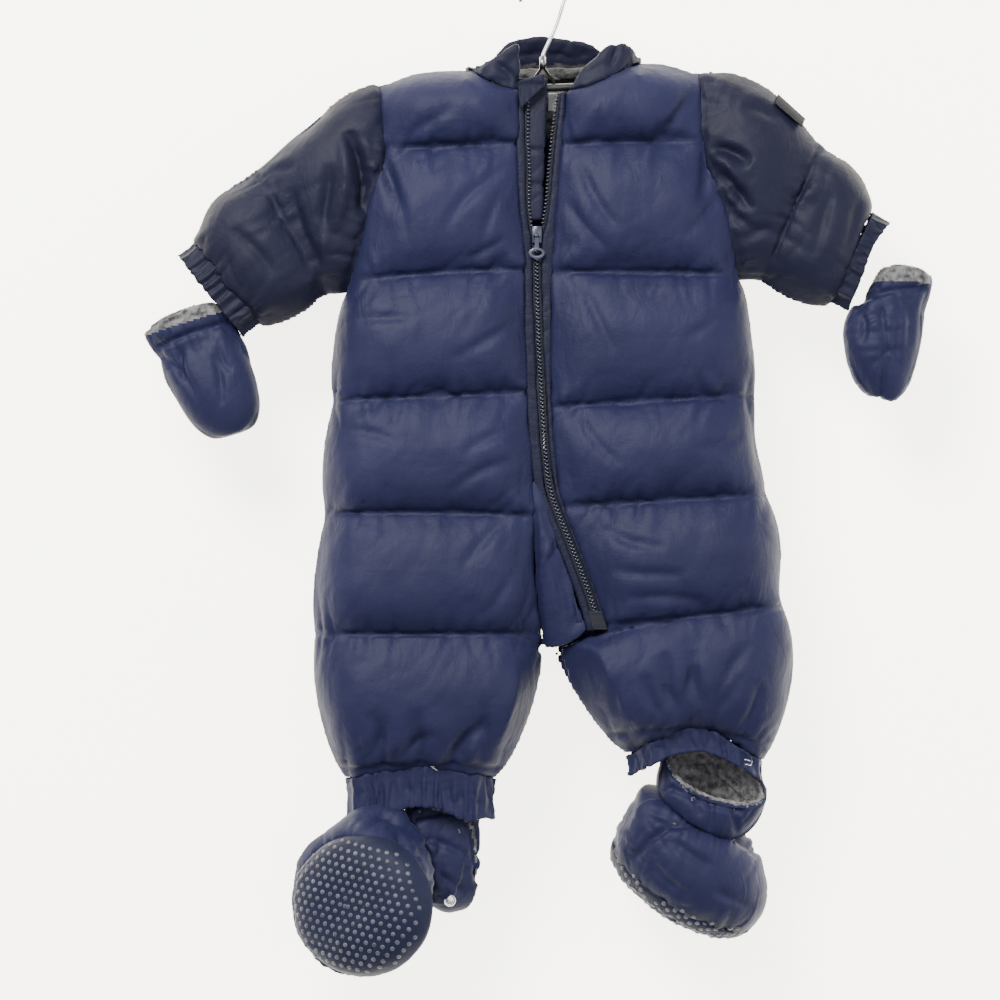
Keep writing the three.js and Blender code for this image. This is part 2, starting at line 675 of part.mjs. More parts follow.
// Booties: a puffed upper, a sole that cups its lower edge, and a shaft from the ankle's elastic to the mouth.
const SOLE_ROWS = [
  { rise: 10, long: 1.06, wide: 1.08, wall: 3.4 },
  { rise: 2, long: 1.02, wide: 1.03, wall: 3 },
  { rise: -3.5, long: 0.86, wide: 0.84, wall: 2.6 },
  { rise: -6, long: 0.5, wide: 0.48, wall: 2.6 },
  { rise: -7, long: 0.15, wide: 0.15, wall: 2.6 },
];
const SOLE_CLEAR = 0.5;
const BOOTIES = {
  right: {
    frame: frameOf(point(-151, -48, -701.6), point(0.55, 0.83, -0.02), point(-0.15, 0.1, -0.98)),
    sole: { long: 48, wide: 43 },
    upper: [
      { rise: 10, long: 50.9, wide: 46.4, wall: 3.4 },
      { rise: 17, long: 50, wide: 47, shift: -2, slide: 4, wall: 8 },
      { rise: 29, long: 45, wide: 43, shift: -7.5, slide: 5, wall: 11 },
      { rise: 42, long: 38, wide: 33, shift: -16, slide: 1, wall: 10 },
      { rise: 53, long: 30, wide: 25, shift: -18, slide: -1, wall: 6 },
      { rise: 62, long: 25, wide: 20, shift: -19, slide: -2, wall: 3.5, gather: 0.9 },
    ],
    shaft: [
      { rise: 62.5, long: 25, wide: 20, shift: -19, slide: -2, wall: 3.5, gather: 0.9 },
      { rise: 71, long: 28, wide: 20, shift: -25, slide: -6, wall: 5.5, gather: 0.5 },
      { rise: 87, long: 30, wide: 18, shift: -34, slide: -18, wall: 5.5 },
      { rise: 103, long: 30, wide: 14, shift: -40, slide: -31, wall: 3.5 },
    ],
  },
  left: {
    frame: frameOf(point(103, 34, -702), point(0.47, -0.38, 0.8), point(0.81, -0.042, -0.585)),
    sole: { long: 57, wide: 38 },
    upper: [
      { rise: 10, long: 60.4, wide: 41, wall: 3.4 },
      { rise: 18, long: 58, wide: 40, shift: -0.5, wall: 9 },
      { rise: 32, long: 53, wide: 36, shift: -3, wall: 13 },
      { rise: 46, long: 47, wide: 31, shift: -10, wall: 13 },
      { rise: 57, long: 39, wide: 26, shift: -17, wall: 11 },
      { rise: 67, long: 30, wide: 21, shift: -19, wall: 3.5, gather: 0.9 },
    ],
    shaft: [
      { rise: 67.5, long: 30, wide: 21, shift: -19, wall: 3.5, gather: 0.9 },
      { rise: 74, long: 34, wide: 20, shift: -19, wall: 5.5, lift: 2, tip: 2, gather: 0.5 },
      { rise: 86, long: 37, wide: 18, shift: -20, wall: 5, lift: 5, tip: 5 },
      { rise: 98, long: 38, wide: 16, shift: -21, wall: 3.5, lift: 8, tip: 9 },
    ],
  },
};
const gathers = (row, c) => (row.gather ?? 0) * (c % 2 === 0 ? 1 : -1);

const shafts = {};
for (const side of [RIGHT, LEFT]) {
  const { frame, sole: foot, upper: upperRows, shaft } = BOOTIES[side.name];
  const wall = (row) => row.wall;
  const soleRows = SOLE_ROWS.map((row) => ({
    ...row,
    rise: row.rise - SOLE_CLEAR,
    long: row.long * foot.long,
    wide: row.wide * foot.wide,
  }));
  const upper = loft(frame, upperRows, { wall, ripple: gathers });
  const sole = loft(frame, soleRows, { wall });
  shafts[side.name] = loft(frame, shaft, { wall, ripple: gathers });
  add(`bootie_upper_${side.name}`, wallGeometry(upper, { closed: true }), NAVY);
  add(`bootie_sole_${side.name}`, wallGeometry(sole, { closed: true, capped: true }), GRIP_SOLE);
  add(`bootie_shaft_${side.name}`, wallGeometry(shafts[side.name], { closed: true }), NAVY);
  const lining = liningWall(shafts[side.name].toReversed(), 2, { above: 1 });
  add(`bootie_lining_${side.name}`, wallGeometry(lining, { closed: true }), FLEECE);
}

// The hood has fallen back behind the neck. Its seam goes round the neck's edge on the body's own stations, which are
// counted from the right front edge at 0, over the right shoulder at 4 and the middle of the back at 8, to the left
// front edge at 16. From there a rib runs over to the finished edge (rim), and `drop` is how far the pouch hangs.
const HOOD_RIBS = [
  { round: 0, rimX: -19, rimY: -23, rimZ: -60, drop: 0 },
  { round: 1, rimX: -31, rimY: -22, rimZ: -66, drop: 0 },
  { round: 2, rimX: -43, rimY: -18, rimZ: -71.5, drop: 0 },
  { round: 3, rimX: -53, rimY: -9, rimZ: -74, drop: 0 },
  { round: 4, rimX: -60, rimY: 8, rimZ: -74, drop: 0 },
  { round: 5, rimX: -58, rimY: 27, rimZ: -75, drop: 3 },
  { round: 6, rimX: -46, rimY: 52, rimZ: -73, drop: 24 },
  { round: 7, rimX: -24, rimY: 58, rimZ: -61, drop: 85 },
  { round: 8, rimX: 4, rimY: 60, rimZ: -56.5, drop: 105 },
  { round: 9, rimX: 32, rimY: 58, rimZ: -63, drop: 85 },
  { round: 10, rimX: 58, rimY: 52, rimZ: -67, drop: 24 },
  { round: 11, rimX: 74, rimY: 27, rimZ: -69, drop: 3 },
  { round: 12, rimX: 77, rimY: 8, rimZ: -69, drop: 0 },
  { round: 13, rimX: 73, rimY: -4, rimZ: -67, drop: 0 },
  { round: 14, rimX: 67, rimY: -12, rimZ: -62, drop: 0 },
  { round: 15, rimX: 58, rimY: -17, rimZ: -57, drop: 0 },
  { round: 16, rimX: 48, rimY: -19, rimZ: -60, drop: 0 },
];
const POUCH_FROM = 30;
// A rib's course where there is a pouch: how far it is towards the rim, along and up, and how much of the drop.
const HOOD_COURSE = [
  { down: 0, out: 0, up: 0, drop: 0 },
  { down: 0.06, out: 0.167, up: 0.12, drop: 0 },
  { down: 0.13, out: 0.39, up: 0.08, drop: 0 },
  { down: 0.2, out: 0.464, up: 0.02, drop: 0.08 },
  { down: 0.27, out: 0.486, up: 0, drop: 0.2 },
  { down: 0.38, out: 0.5, up: 0, drop: 0.58 },
  { down: 0.47, out: 0.61, up: 0, drop: 0.85 },
  { down: 0.55, out: 0.94, up: 0.05, drop: 0.96 },
  { down: 0.64, out: 1.22, up: 0.2, drop: 0.86 },
  { down: 0.75, out: 1.33, up: 0.5, drop: 0.6 },
  { down: 0.87, out: 1.3, up: 0.8, drop: 0.25 },
  { down: 1, out: 1, up: 1, drop: 0 },
];
const HOOD_WALL = 3.5;
const HOOD_SEAT = 0.7;
const neckFrom = OUTER_COLUMNS.length;
const neckEdges = [body.right.front, body.right.back, body.left.back, body.left.front].map((panel) =>
  panel[0].slice(neckFrom),
);
const [rightFrontEdge, rightBackEdge, leftBackEdge, leftFrontEdge] = neckEdges;
const neckRing = [
  ...rightFrontEdge.toReversed(),
  ...rightBackEdge.slice(1, -1),
  between(rightBackEdge.at(-1), leftBackEdge.at(-1), 0.5),
  ...leftBackEdge.slice(0, -1).reverse(),
  ...leftFrontEdge.slice(1),
];

const HOOD_ROUNDS = [0, 1, 2, 3, 4, 5, 5.5, 6, 6.5, 7, 8, 9, 9.5, 10, 10.5, 11, 12, 13, 14, 15, 16];
const HOOD_SEAMS = [7, 13];
const SEAM_SHARE = 0.08;
const hoodGrid = HOOD_COURSE.map(({ down, out, up, drop }) =>
  HOOD_ROUNDS.map((at) => {
    const before = Math.min(Math.floor(at), neckRing.length - 2);
    const base = between(neckRing[before], neckRing[before + 1], at - before).outside;
    const rib = (name) => read(HOOD_RIBS, "round", name, at);
    const pouch = Math.min(rib("drop") / POUCH_FROM, 1);
    const along = mix(down, out, pouch);
    const z = mix(base.z + HOOD_SEAT, rib("rimZ"), mix(down, up, pouch)) - rib("drop") * drop;
    return point(mix(base.x, rib("rimX"), along), mix(base.y, rib("rimY"), along), z);
  }),
);
const wholeHood = padded(hoodGrid, { side: 1, startAxis: point(0, 0, 1), thickness: () => HOOD_WALL });

// A panel between two columns of the whole, which stops just short of a seam it shares.
function hoodPanel(from, to) {
  const last = HOOD_ROUNDS.length - 1;
  return wholeHood.map((row) => {
    const stations = row.slice(from, to + 1);
    if (from > 0) stations[0] = between(row[from], row[from + 1], SEAM_SHARE);
    if (to < last) stations[stations.length - 1] = between(row[to - 1], row[to], 1 - SEAM_SHARE);
    return stations;
  });
}

const hood = {
  right: hoodPanel(0, HOOD_SEAMS[0]),
  centre: hoodPanel(...HOOD_SEAMS),
  left: hoodPanel(HOOD_SEAMS[1], HOOD_ROUNDS.length - 1),
};
for (const [name, wall] of Object.entries(hood)) add(`hood_${name}`, wallGeometry(wall), DARK_NAVY);

// A thin patch that lies on part of a wall, on its outside or its inside.
function patchOn(rows, { rowSpan, columnSpan, thickness, inner = false, gap = 0.4, steps = 3 }) {
  const shares = [...Array(steps).keys()].map((i) => i / (steps - 1));
  return shares.map((down) =>
    shares.map((across) => {
      const station = stationAt(rows, mix(...rowSpan, down), mix(...columnSpan, across));
      const outwards = station.outside.clone().sub(station.inside).normalize();
      const [start, sign] = inner ? [station.inside, -1] : [station.outside, 1];
      return {
        inside: start.clone().addScaledVector(outwards, sign * gap),
        outside: start.clone().addScaledVector(outwards, sign * (gap + thickness)),
      };
    }),
  );
}

// The fleece that shows at the back of the neck, and the plain label sewn on it.
const NECK_LINING_ROWS = 4;
const liningFrom = neckFrom + 2;
const neckBacks = body.right.back
  .slice(0, NECK_LINING_ROWS)
  .map((row, r) => [...row.slice(liningFrom), ...body.left.back[r].slice(liningFrom).reverse()]);
const neckLining = neckBacks.map((row) =>
  row.map((s) => ({
    inside: s.inside.clone().add(point(0, -1 - LINING, 0)),
    outside: s.inside.clone().add(point(0, -1, 0)),
  })),
);
add("neck_lining", wallGeometry(neckLining), FLEECE);
const LABEL_ROWS = [0.35, 1.75];
const LABEL_COLUMNS = [3.15, 3.75];
const neckLabel = patchOn(neckLining, {
  rowSpan: LABEL_ROWS,
  columnSpan: LABEL_COLUMNS,
  thickness: 0.6,
  inner: true,
});
add("neck_label", wallGeometry(neckLabel), LABEL);

// A plain patch sewn on the outer edge of the left sleeve.
const sleeveTop = sleeves.left.map((row) => [...row.slice(-2), ...row.slice(0, 3)]);
const PATCH = { rowSpan: [2.45, 3], columnSpan: [1.05, 2.95], thickness: 1.2, gap: 0.5 };
add("sleeve_patch", wallGeometry(patchOn(sleeveTop, PATCH)), BLACK_PLASTIC);

// The zip. Each half's chain is open above the slider, then both run down and across on to the left leg. `edge` is
// the right strip's outer edge where it has left the right front's.
const ZIP_BENDS = -395;
const ZIP = [
  { z: -95, right: -10.5, left: 10.5 },
  { z: -131, right: -10.8, left: 5.8 },
  { z: -155, right: -9.5, left: 3.5 },
  { z: -178, right: -10.2, left: 1.8 },
  { z: -196, right: -8, left: -1 },
  { z: -203, right: -4.8, left: -4.2 },
  { z: -228, right: -4.8, left: -4.8 },
  { z: -251, right: -4.5, left: -4.5 },
  { z: -290, right: -3, left: -3 },
  { z: -326, right: -1, left: -1 },
  { z: -360, right: 1, left: 1 },
  { z: -386, right: 3.5, left: 3.5, edge: -6.9 },
  { z: -400, right: 7, left: 7, edge: -3.5 },
  { z: -418, right: 14, left: 14, edge: 4.5 },
  { z: -435, right: 21, left: 21, edge: 11.5 },
  { z: -464, right: 32, left: 32, edge: 23 },
  { z: -480, right: 37.5, left: 37.5, edge: 28.5 },
  { z: -499, right: 43, left: 43, edge: 34 },
];
const ZIP_ROWS = [
  -95, -113, -131, -155, -178, -196, -203, -228, -255, -290, -326, -360, -386, -400, -418, -435, -464, -480, -498.5,
];
const TAPE_SHOWS = 4;
const TEETH_HALF = 0.5;
const PLACKET_WALL = 3.2;
const TAPE_WALL = 1.2;
const frontY = (z) => -hollowAt(z) - GAP / 2;

// Where a front panel's inner edge is at a height.
function edgeX(panel, z) {
  const stations = column(panel, panel[0].length - 1);
  const below = clamp(stations.findIndex((s) => s.inside.z < z), 1, stations.length - 1);
  const [a, b] = [stations[below - 1].inside, stations[below].inside];
  return mix(a.x, b.x, clamp((z - a.z) / (b.z - a.z), 0, 1));
}

// A strip that lies across the front opening, `from` one x `to` another at each height.
function strip(heights, { from, to, wall, forward = 0 }) {
  return heights.map((z) => {
    const [a, b] = [from(z), to(z)];
    return [0, 1].map((t) => ({
      inside: point(mix(a, b, t), frontY(z) - forward, z),
      outside: point(mix(a, b, t), frontY(z) - forward - wall, z),
    }));
  });
}
const zipAt = (name) => (z) => read(ZIP, "z", name, z);
const [rightChain, leftChain] = ["right", "left"].map(zipAt);
const lowerEdge = (z) => read(ZIP.slice(-7), "z", "edge", z);
const rightEdge = (z) => (z > ZIP_BENDS ? edgeX(body.right.front, z) + 2 * GAP : lowerEdge(z));
const leftEdge = (z) => edgeX(body.left.front, z) - 2 * GAP;
const strips = {
  placket_right: { from: rightEdge, to: (z) => rightChain(z) - TAPE_SHOWS, wall: PLACKET_WALL },
  placket_left: { from: (z) => leftChain(z) + TAPE_SHOWS, to: leftEdge, wall: PLACKET_WALL },
  zip_tape_right: {
    from: (z) => rightChain(z) - TAPE_SHOWS + GAP,
    to: (z) => rightChain(z) - TEETH_HALF,
    wall: TAPE_WALL,
  },
  zip_tape_left: {
    from: (z) => leftChain(z) + TEETH_HALF,
    to: (z) => leftChain(z) + TAPE_SHOWS - GAP,
    wall: TAPE_WALL,
  },
};
for (const [name, shape] of Object.entries(strips)) add(name, wallGeometry(strip(ZIP_ROWS, shape)), DARK_NAVY);

// The zip's lower end is finished with a small patch over both strips.
const END_PATCH = { top: -484, bottom: -498, half: 5.5, wall: 1 };
const endPatch = strip([END_PATCH.top, mix(END_PATCH.top, END_PATCH.bottom, 0.5), END_PATCH.bottom], {
  from: (z) => rightChain(z) - END_PATCH.half,
  to: (z) => leftChain(z) + END_PATCH.half,
  wall: END_PATCH.wall,
  forward: PLACKET_WALL + GAP,
});
add("zip_end_patch", wallGeometry(endPatch), DARK_NAVY);

// The guard behind the open part of the zip.
const GUARD = { top: -84, bottom: -190, from: -19, to: 3, wall: 2.5 };
const guardRows = [...Array(9).keys()].map((i) => mix(GUARD.top, GUARD.bottom, i / 8));
const guard = strip(guardRows, {
  from: () => GUARD.from,
  to: (z) => mix(GUARD.to, GUARD.to - 4, (z - GUARD.top) / (GUARD.bottom - GUARD.top)),
  wall: GUARD.wall,
  forward: -GUARD.wall - 2 * GAP,
});
add("zip_guard", wallGeometry(guard), DARK_NAVY);

// The gusset between the right front's inner edge, the zip's lower part and the crotch. Its right edge keeps to the
// front's own stations.
const GUSSET = { rows: [16, 17, 18, 19, 20, 20.6], columns: 6, top: -408, bottom: -498.5, wall: 3, puff: 5 };
const frontEdge = column(body.right.front, body.right.front[0].length - 1);
const gussetStarts = GUSSET.rows.map((row) => {
  const above = Math.floor(row);
  const s = between(frontEdge[above], frontEdge[above + 1], row - above);
  const across = s.outside.clone().sub(s.inside).setZ(0).normalize();
  return moved(s, point(-across.y, across.x, 0).multiplyScalar(2 * GAP));
});
const gussetGrid = gussetStarts.map((start, r) => {
  const down = r / (GUSSET.rows.length - 1);
  const leftZ = mix(GUSSET.top, GUSSET.bottom, down);
  const end = point(rightEdge(leftZ) - GAP, frontY(leftZ), leftZ);
  return [...Array(GUSSET.columns).keys()].map((c) => {
    const across = c / (GUSSET.columns - 1);
    const sag = point(0, -3 * down, -6 * down ** 4).multiplyScalar(Math.sin(Math.PI * across));
    return start.inside.clone().lerp(end, across).add(sag);
  });
});
const gusset = padded(gussetGrid, {
  away: () => point(-0.1, -1, -0.1),
  thickness: (r, c) => {
    const across = c / (GUSSET.columns - 1);
    const down = r / (GUSSET.rows.length - 1);
    return GUSSET.wall + GUSSET.puff * Math.sin(Math.PI * across) * Math.sin(Math.PI * Math.min(down * 1.15, 1));
  },
});
gusset.forEach((row, r) => {
  row[0] = gussetStarts[r];
});
add("crotch_gusset", wallGeometry(gusset), NAVY);

// The zip's slider rides on the tapes' faces. Its two lugs carry the pin of the pull.
const SLIDER = { x: -4.7, z: -202, width: 7.2, height: 12.5, plate: 1.5, flange: 0.9, clear: 1.6 };
const LUG = { z: -203, apart: 3.2, wall: 0.8, pin: 0.6, reach: 2.5, radius: 1.1 };
const TAPE_FACE = frontY(SLIDER.z) - TAPE_WALL - 2 * GAP;
const PLATE_FACE = TAPE_FACE - SLIDER.clear - SLIDER.plate;
const PIN_Y = PLATE_FACE - LUG.reach;

const boxAt = (width, depth, height, x, y, z) => new THREE.BoxGeometry(width, depth, height).translate(x, y, z);
const pinAt = (radius, length, x, y, z) =>
  new THREE.CylinderGeometry(radius, radius, length, 16).rotateZ(Math.PI / 2).translate(x, y, z);

const flangeX = (SLIDER.width - SLIDER.flange) / 2;
const flangeDepth = SLIDER.clear + 0.2;
const lugX = (LUG.apart + LUG.wall) / 2;
const lugDepth = LUG.reach + 0.2;
const sliderPieces = [
  boxAt(SLIDER.width, SLIDER.plate, SLIDER.height, SLIDER.x, PLATE_FACE + SLIDER.plate / 2, SLIDER.z),
  pinAt(LUG.pin, LUG.apart + LUG.wall, SLIDER.x, PIN_Y, LUG.z),
];
for (const turn of [-1, 1]) {
  const flangeY = TAPE_FACE - flangeDepth / 2;
  sliderPieces.push(
    boxAt(SLIDER.flange, flangeDepth, SLIDER.height, SLIDER.x + turn * flangeX, flangeY, SLIDER.z),
    boxAt(LUG.wall, lugDepth, 2 * LUG.radius, SLIDER.x + turn * lugX, PIN_Y + lugDepth / 2, LUG.z),
    pinAt(LUG.radius, LUG.wall, SLIDER.x + turn * lugX, PIN_Y, LUG.z),
  );
}
add("zip_slider", joined(...sliderPieces), ZIP_METAL);

// The pull: an eye round the pin, a neck, and a ring to hold.
const PULL = {
  eye: 1.8,
  hole: 1.05,
  width: 2.4,
  thickness: 1.6,
  neck: 9,
  ringX: 6,
  ringZ: 4.2,
  holeX: 3.9,
  holeZ: 2.2,
};
function pullGeometry() {
  const ringZ = -PULL.neck - PULL.ringZ;
  const outline = new THREE.Shape();
  outline.moveTo(-PULL.width / 2, 0);
  outline.lineTo(PULL.width / 2, 0);
  outline.lineTo(PULL.width / 2 + 0.5, -PULL.neck - 0.6);
  outline.lineTo(-PULL.width / 2 - 0.5, -PULL.neck - 0.6);
  const ring = new THREE.Shape();
  ring.absellipse(0, ringZ, PULL.ringX, PULL.ringZ, 0, 2 * Math.PI);
  const hole = new THREE.Path();
  hole.absellipse(0, ringZ, PULL.holeX, PULL.holeZ, 0, 2 * Math.PI, true);
  ring.holes.push(hole);
  const flat = { depth: PULL.thickness, bevelEnabled: false, curveSegments: 10 };
  const stand = (shape) =>
    new THREE.ExtrudeGeometry(shape, flat).rotateX(Math.PI / 2).translate(0, PULL.thickness / 2, 0);
  const eye = pinAt(PULL.eye, PULL.width, 0, 0, 0);
  const whole = solid(joined(stand(outline), stand(ring), eye));
  return geometryOf(whole.subtract(solid(pinAt(PULL.hole, PULL.width + 1, 0, 0, 0))));
}
add("zip_pull", pullGeometry(), ZIP_METAL).position.set(SLIDER.x, PIN_Y, LUG.z);

// A plain snap cap near the mouth of the right bootie's shaft.
const SNAP = { row: 2.05, column: 14.15, radius: 4.9, height: 2.4 };
function snapGeometry() {
  const s = stationAt(shafts.right, SNAP.row, SNAP.column);
  const axis = s.outside.clone().sub(s.inside).normalize();
  const profile = [
    new THREE.Vector2(0, 0),
    new THREE.Vector2(SNAP.radius * 0.8, 0),
    new THREE.Vector2(SNAP.radius, 0.7),
    new THREE.Vector2(SNAP.radius * 0.92, 1.5),
    new THREE.Vector2(SNAP.radius * 0.6, 2.1),
    new THREE.Vector2(0, SNAP.height),
  ];
  const cap = new THREE.LatheGeometry(profile, 20);
  cap.applyQuaternion(new THREE.Quaternion().setFromUnitVectors(point(0, 1, 0), axis));
  const seat = s.outside.clone().addScaledVector(axis, 1.3);
  return geometryOf(solid(cap.translate(seat.x, seat.y, seat.z)));
}
add("bootie_snap_right", snapGeometry(), STEEL);

// The hanger: a wire hook with a small ferrule and two struts, and a round bar under the shoulder seams.
const HOOK = { radius: 18, wire: 1.5, turns: 18 };
const HOOK_CENTRE_Z = HOOK.wire - HOOK.radius;
const FERRULE = { x: 0, top: -66, bottom: -75, radius: 2.6 };
class HookCurve extends THREE.Curve {
  constructor() {
    super();
    const arc = [];
    for (let i = 0; i <= HOOK.turns; i += 1) {
      const angle = degToRad(mix(205, -28, i / HOOK.turns));
      arc.push(point(HOOK.radius * Math.cos(angle), 0, HOOK_CENTRE_Z + HOOK.radius * Math.sin(angle)));
    }
    const shank = [point(10.5, 0, -42), point(3.2, 0, -58), point(FERRULE.x, 0, -66), point(FERRULE.x, 0, -72)];
    this.path = new THREE.CatmullRomCurve3([...arc, ...shank], false, "centripetal");
  }
  getPoint(t) {
    return this.path.getPoint(t);
  }
}
const wire = (curve, radius, steps) => {
  const circle = new THREE.Shape();
  circle.absarc(0, 0, radius, 0, 2 * Math.PI);
  return new THREE.ExtrudeGeometry(circle, { steps, extrudePath: curve, curveSegments: 5, bevelEnabled: false });
};
const STRUT = { spread: 9, radius: 1.1, clear: 0.95 };
const strutTo = (x) => new THREE.LineCurve3(point(FERRULE.x, 0, -73), point(x, 0, barTop(x) + STRUT.clear));
const ferrule = new THREE.CylinderGeometry(FERRULE.radius, FERRULE.radius, FERRULE.top - FERRULE.bottom, 12)
  .rotateX(Math.PI / 2)
  .translate(FERRULE.x, 0, (FERRULE.top + FERRULE.bottom) / 2);
const hook = joined(
  wire(new HookCurve(), HOOK.wire, 32),
  ferrule,
  wire(strutTo(-STRUT.spread), STRUT.radius, 1),
  wire(strutTo(STRUT.spread), STRUT.radius, 1),
);
add("hanger_hook", hook, STEEL);

const BAR = { from: -116, to: 112, radius: 3 };
const barEnd = (x) => point(x, 0, barTop(x) - BAR.radius);
add("hanger_bar", wire(new THREE.LineCurve3(barEnd(BAR.from), barEnd(BAR.to)), BAR.radius, 1), BLACK_PLASTIC);

export default snowsuit;
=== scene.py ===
import math

import bmesh
import bpy
import numpy as np
from mathutils import Matrix, Vector
from mathutils.bvhtree import BVHTree


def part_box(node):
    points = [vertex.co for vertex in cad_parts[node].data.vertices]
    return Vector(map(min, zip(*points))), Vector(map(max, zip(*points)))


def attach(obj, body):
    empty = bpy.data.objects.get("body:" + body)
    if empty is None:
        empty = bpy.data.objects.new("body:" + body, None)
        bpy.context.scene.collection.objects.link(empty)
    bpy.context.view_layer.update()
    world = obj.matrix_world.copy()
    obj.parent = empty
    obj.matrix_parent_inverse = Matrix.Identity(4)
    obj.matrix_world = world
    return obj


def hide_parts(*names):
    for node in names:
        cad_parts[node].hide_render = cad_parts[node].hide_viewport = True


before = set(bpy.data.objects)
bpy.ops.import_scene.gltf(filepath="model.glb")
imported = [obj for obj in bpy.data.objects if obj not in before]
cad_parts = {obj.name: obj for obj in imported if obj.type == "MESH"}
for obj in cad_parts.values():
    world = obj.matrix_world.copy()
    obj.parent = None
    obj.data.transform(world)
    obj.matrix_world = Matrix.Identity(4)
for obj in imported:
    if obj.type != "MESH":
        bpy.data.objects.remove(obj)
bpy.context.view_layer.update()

MM = 0.001
BODY = "suit_on_hanger"
RIGHT, LEFT = -1, 1

# The room: a warm white wall behind the garment, soft light from the upper left and the front, and the camera
# straight in front at chest height. Lengths in the photograph are worked out from one scale.
PIXEL = 0.75 * MM
HOOK_PIXEL = (543, -34.6)
CAMERA_DISTANCE = 2.4


def seen_at(px, py):
    """The place in the garment's plane, x and z, of a point of the photograph."""
    return (px - HOOK_PIXEL[0]) * PIXEL, (HOOK_PIXEL[1] - py) * PIXEL


def line_seen(*points):
    """A line drawn through points of the photograph."""
    return [seen_at(px, py) for px, py in points]


def built(name, bm):
    """An object with the mesh that has just been built."""
    piece = bpy.data.objects.new(name, bpy.data.meshes.new(name))
    bm.to_mesh(piece.data)
    bm.free()
    bpy.context.scene.collection.objects.link(piece)
    return piece


def new_material(name):
    """A material, with its nodes and its links."""
    mat = bpy.data.materials.new(name)
    mat.use_nodes = True
    return mat, mat.node_tree.nodes, mat.node_tree.links


wall_mesh = bmesh.new()
bmesh.ops.create_grid(wall_mesh, x_segments=1, y_segments=1, size=2.5)
bmesh.ops.rotate(wall_mesh, verts=wall_mesh.verts, matrix=Matrix.Rotation(math.radians(90), 3, "X"))
bmesh.ops.translate(wall_mesh, verts=wall_mesh.verts, vec=(0, 0.088, -0.4))
wall = built("wall", wall_mesh)


def wall_paint():
    """Warm white paint, which is clear from behind so that the garment's back can be looked at."""
    mat, nodes, links = new_material("wall_paint")
    paint = nodes["Principled BSDF"]
    paint.inputs["Base Color"].default_value = (0.97, 0.94, 0.82, 1)
    paint.inputs["Roughness"].default_value = 0.9
    paint.inputs["Emission Color"].default_value = (1, 0.975, 0.86, 1)
    paint.inputs["Emission Strength"].default_value = 4.5
    clear = nodes.new("ShaderNodeBsdfTransparent")
    side = nodes.new("ShaderNodeNewGeometry")
    mix = nodes.new("ShaderNodeMixShader")
    links.new(side.outputs["Backfacing"], mix.inputs["Fac"])
    links.new(paint.outputs["BSDF"], mix.inputs[1])
    links.new(clear.outputs["BSDF"], mix.inputs[2])
    links.new(mix.outputs["Shader"], nodes["Material Output"].inputs["Surface"])
    return mat


wall.data.materials.append(wall_paint())

scene = bpy.context.scene
camera = bpy.data.objects.new("camera", bpy.data.cameras.new("camera"))
scene.collection.objects.link(camera)
scene.camera = camera
centre_x, centre_z = seen_at(500, 500)
camera.location = (centre_x, -CAMERA_DISTANCE - 0.02, centre_z)
camera.rotation_euler = (math.radians(90), 0, 0)
camera.data.sensor_width = 36
camera.data.lens = 36 * CAMERA_DISTANCE / (1000 * PIXEL)

LIGHTS = [
    {"name": "window", "at": (-0.75, -1.8, 1.0), "size": 0.9, "watts": 128, "colour": (1, 0.98, 0.94)},
    {"name": "front_fill", "at": (0.5, -2.6, -0.2), "size": 1.8, "watts": 26, "colour": (0.97, 0.98, 1)},
    {"name": "side_fill", "at": (1.7, -0.9, -0.3), "size": 1.2, "watts": 20, "colour": (1, 1, 1)},
    {"name": "back_fill", "at": (0.4, 2.2, 0.6), "size": 1.6, "watts": 26, "colour": (1, 1, 1)},
]
for light in LIGHTS:
    lamp = bpy.data.objects.new(light["name"], bpy.data.lights.new(light["name"], "AREA"))
    lamp.data.size, lamp.data.energy, lamp.data.color = light["size"], light["watts"], light["colour"]
    lamp.location = light["at"]
    lamp.rotation_euler = (Vector((-0.03, 0, -0.4)) - lamp.location).to_track_quat("-Z", "Y").to_euler()
    scene.collection.objects.link(lamp)
world = bpy.data.worlds.new("pale_room")
world.use_nodes = True
world.node_tree.nodes["Background"].inputs["Color"].default_value = (0.97, 0.97, 1, 1)
world.node_tree.nodes["Background"].inputs["Strength"].default_value = 0.7
scene.world = world

# The shell: two fronts and two backs of thin polyester over loose filling, quilted across in six baffles. The cloth
# puckers along every stitch line, creases away from the zip and the armholes, and sags softly between.
STITCH_LINES = {
    "front_right": [(-139.5, -132, 0), (-240, -228, 3), (-327, -319.5, 0), (-411, -413, 2), (-501, -501, 0)],
    "front_left": [(-130, -133.5, 0), (-232, -229.5, 0), (-321, -331, 0), (-396, -406, 0), (-479, -499, 0)],
    "back_right": [(-139.5, -136, 0), (-240, -236, 3), (-327, -326, 0), (-411, -414, 2), (-501, -501, 0)],
    "back_left": [(-130, -132, 0), (-232, -232, 0), (-321, -326, 0), (-396, -404, 0), (-479, -499, 0)],
}
SHELL_VOXEL = 2.6 * MM


def noise(u, v, seed):
    """Smooth noise from -1 to 1 over a plane, with one cell to each unit of u and v."""
    i, j = np.floor(u), np.floor(v)
    a, b = u - i, v - j
    a, b = a * a * (3 - 2 * a), b * b * (3 - 2 * b)

    def corner(x, y):
        h = np.sin(x * 127.1 + y * 311.7 + seed * 74.7) * 43758.5453
        return 2 * (h - np.floor(h)) - 1

    upper = corner(i, j) * (1 - a) + corner(i + 1, j) * a
    lower = corner(i, j + 1) * (1 - a) + corner(i + 1, j + 1) * a
    return upper * (1 - b) + lower * b


def billow(u, v, seed):
    """Round swellings from 0 to 1 with a sharp crease between neighbours."""
    return np.sqrt(np.abs(noise(u, v, seed)))


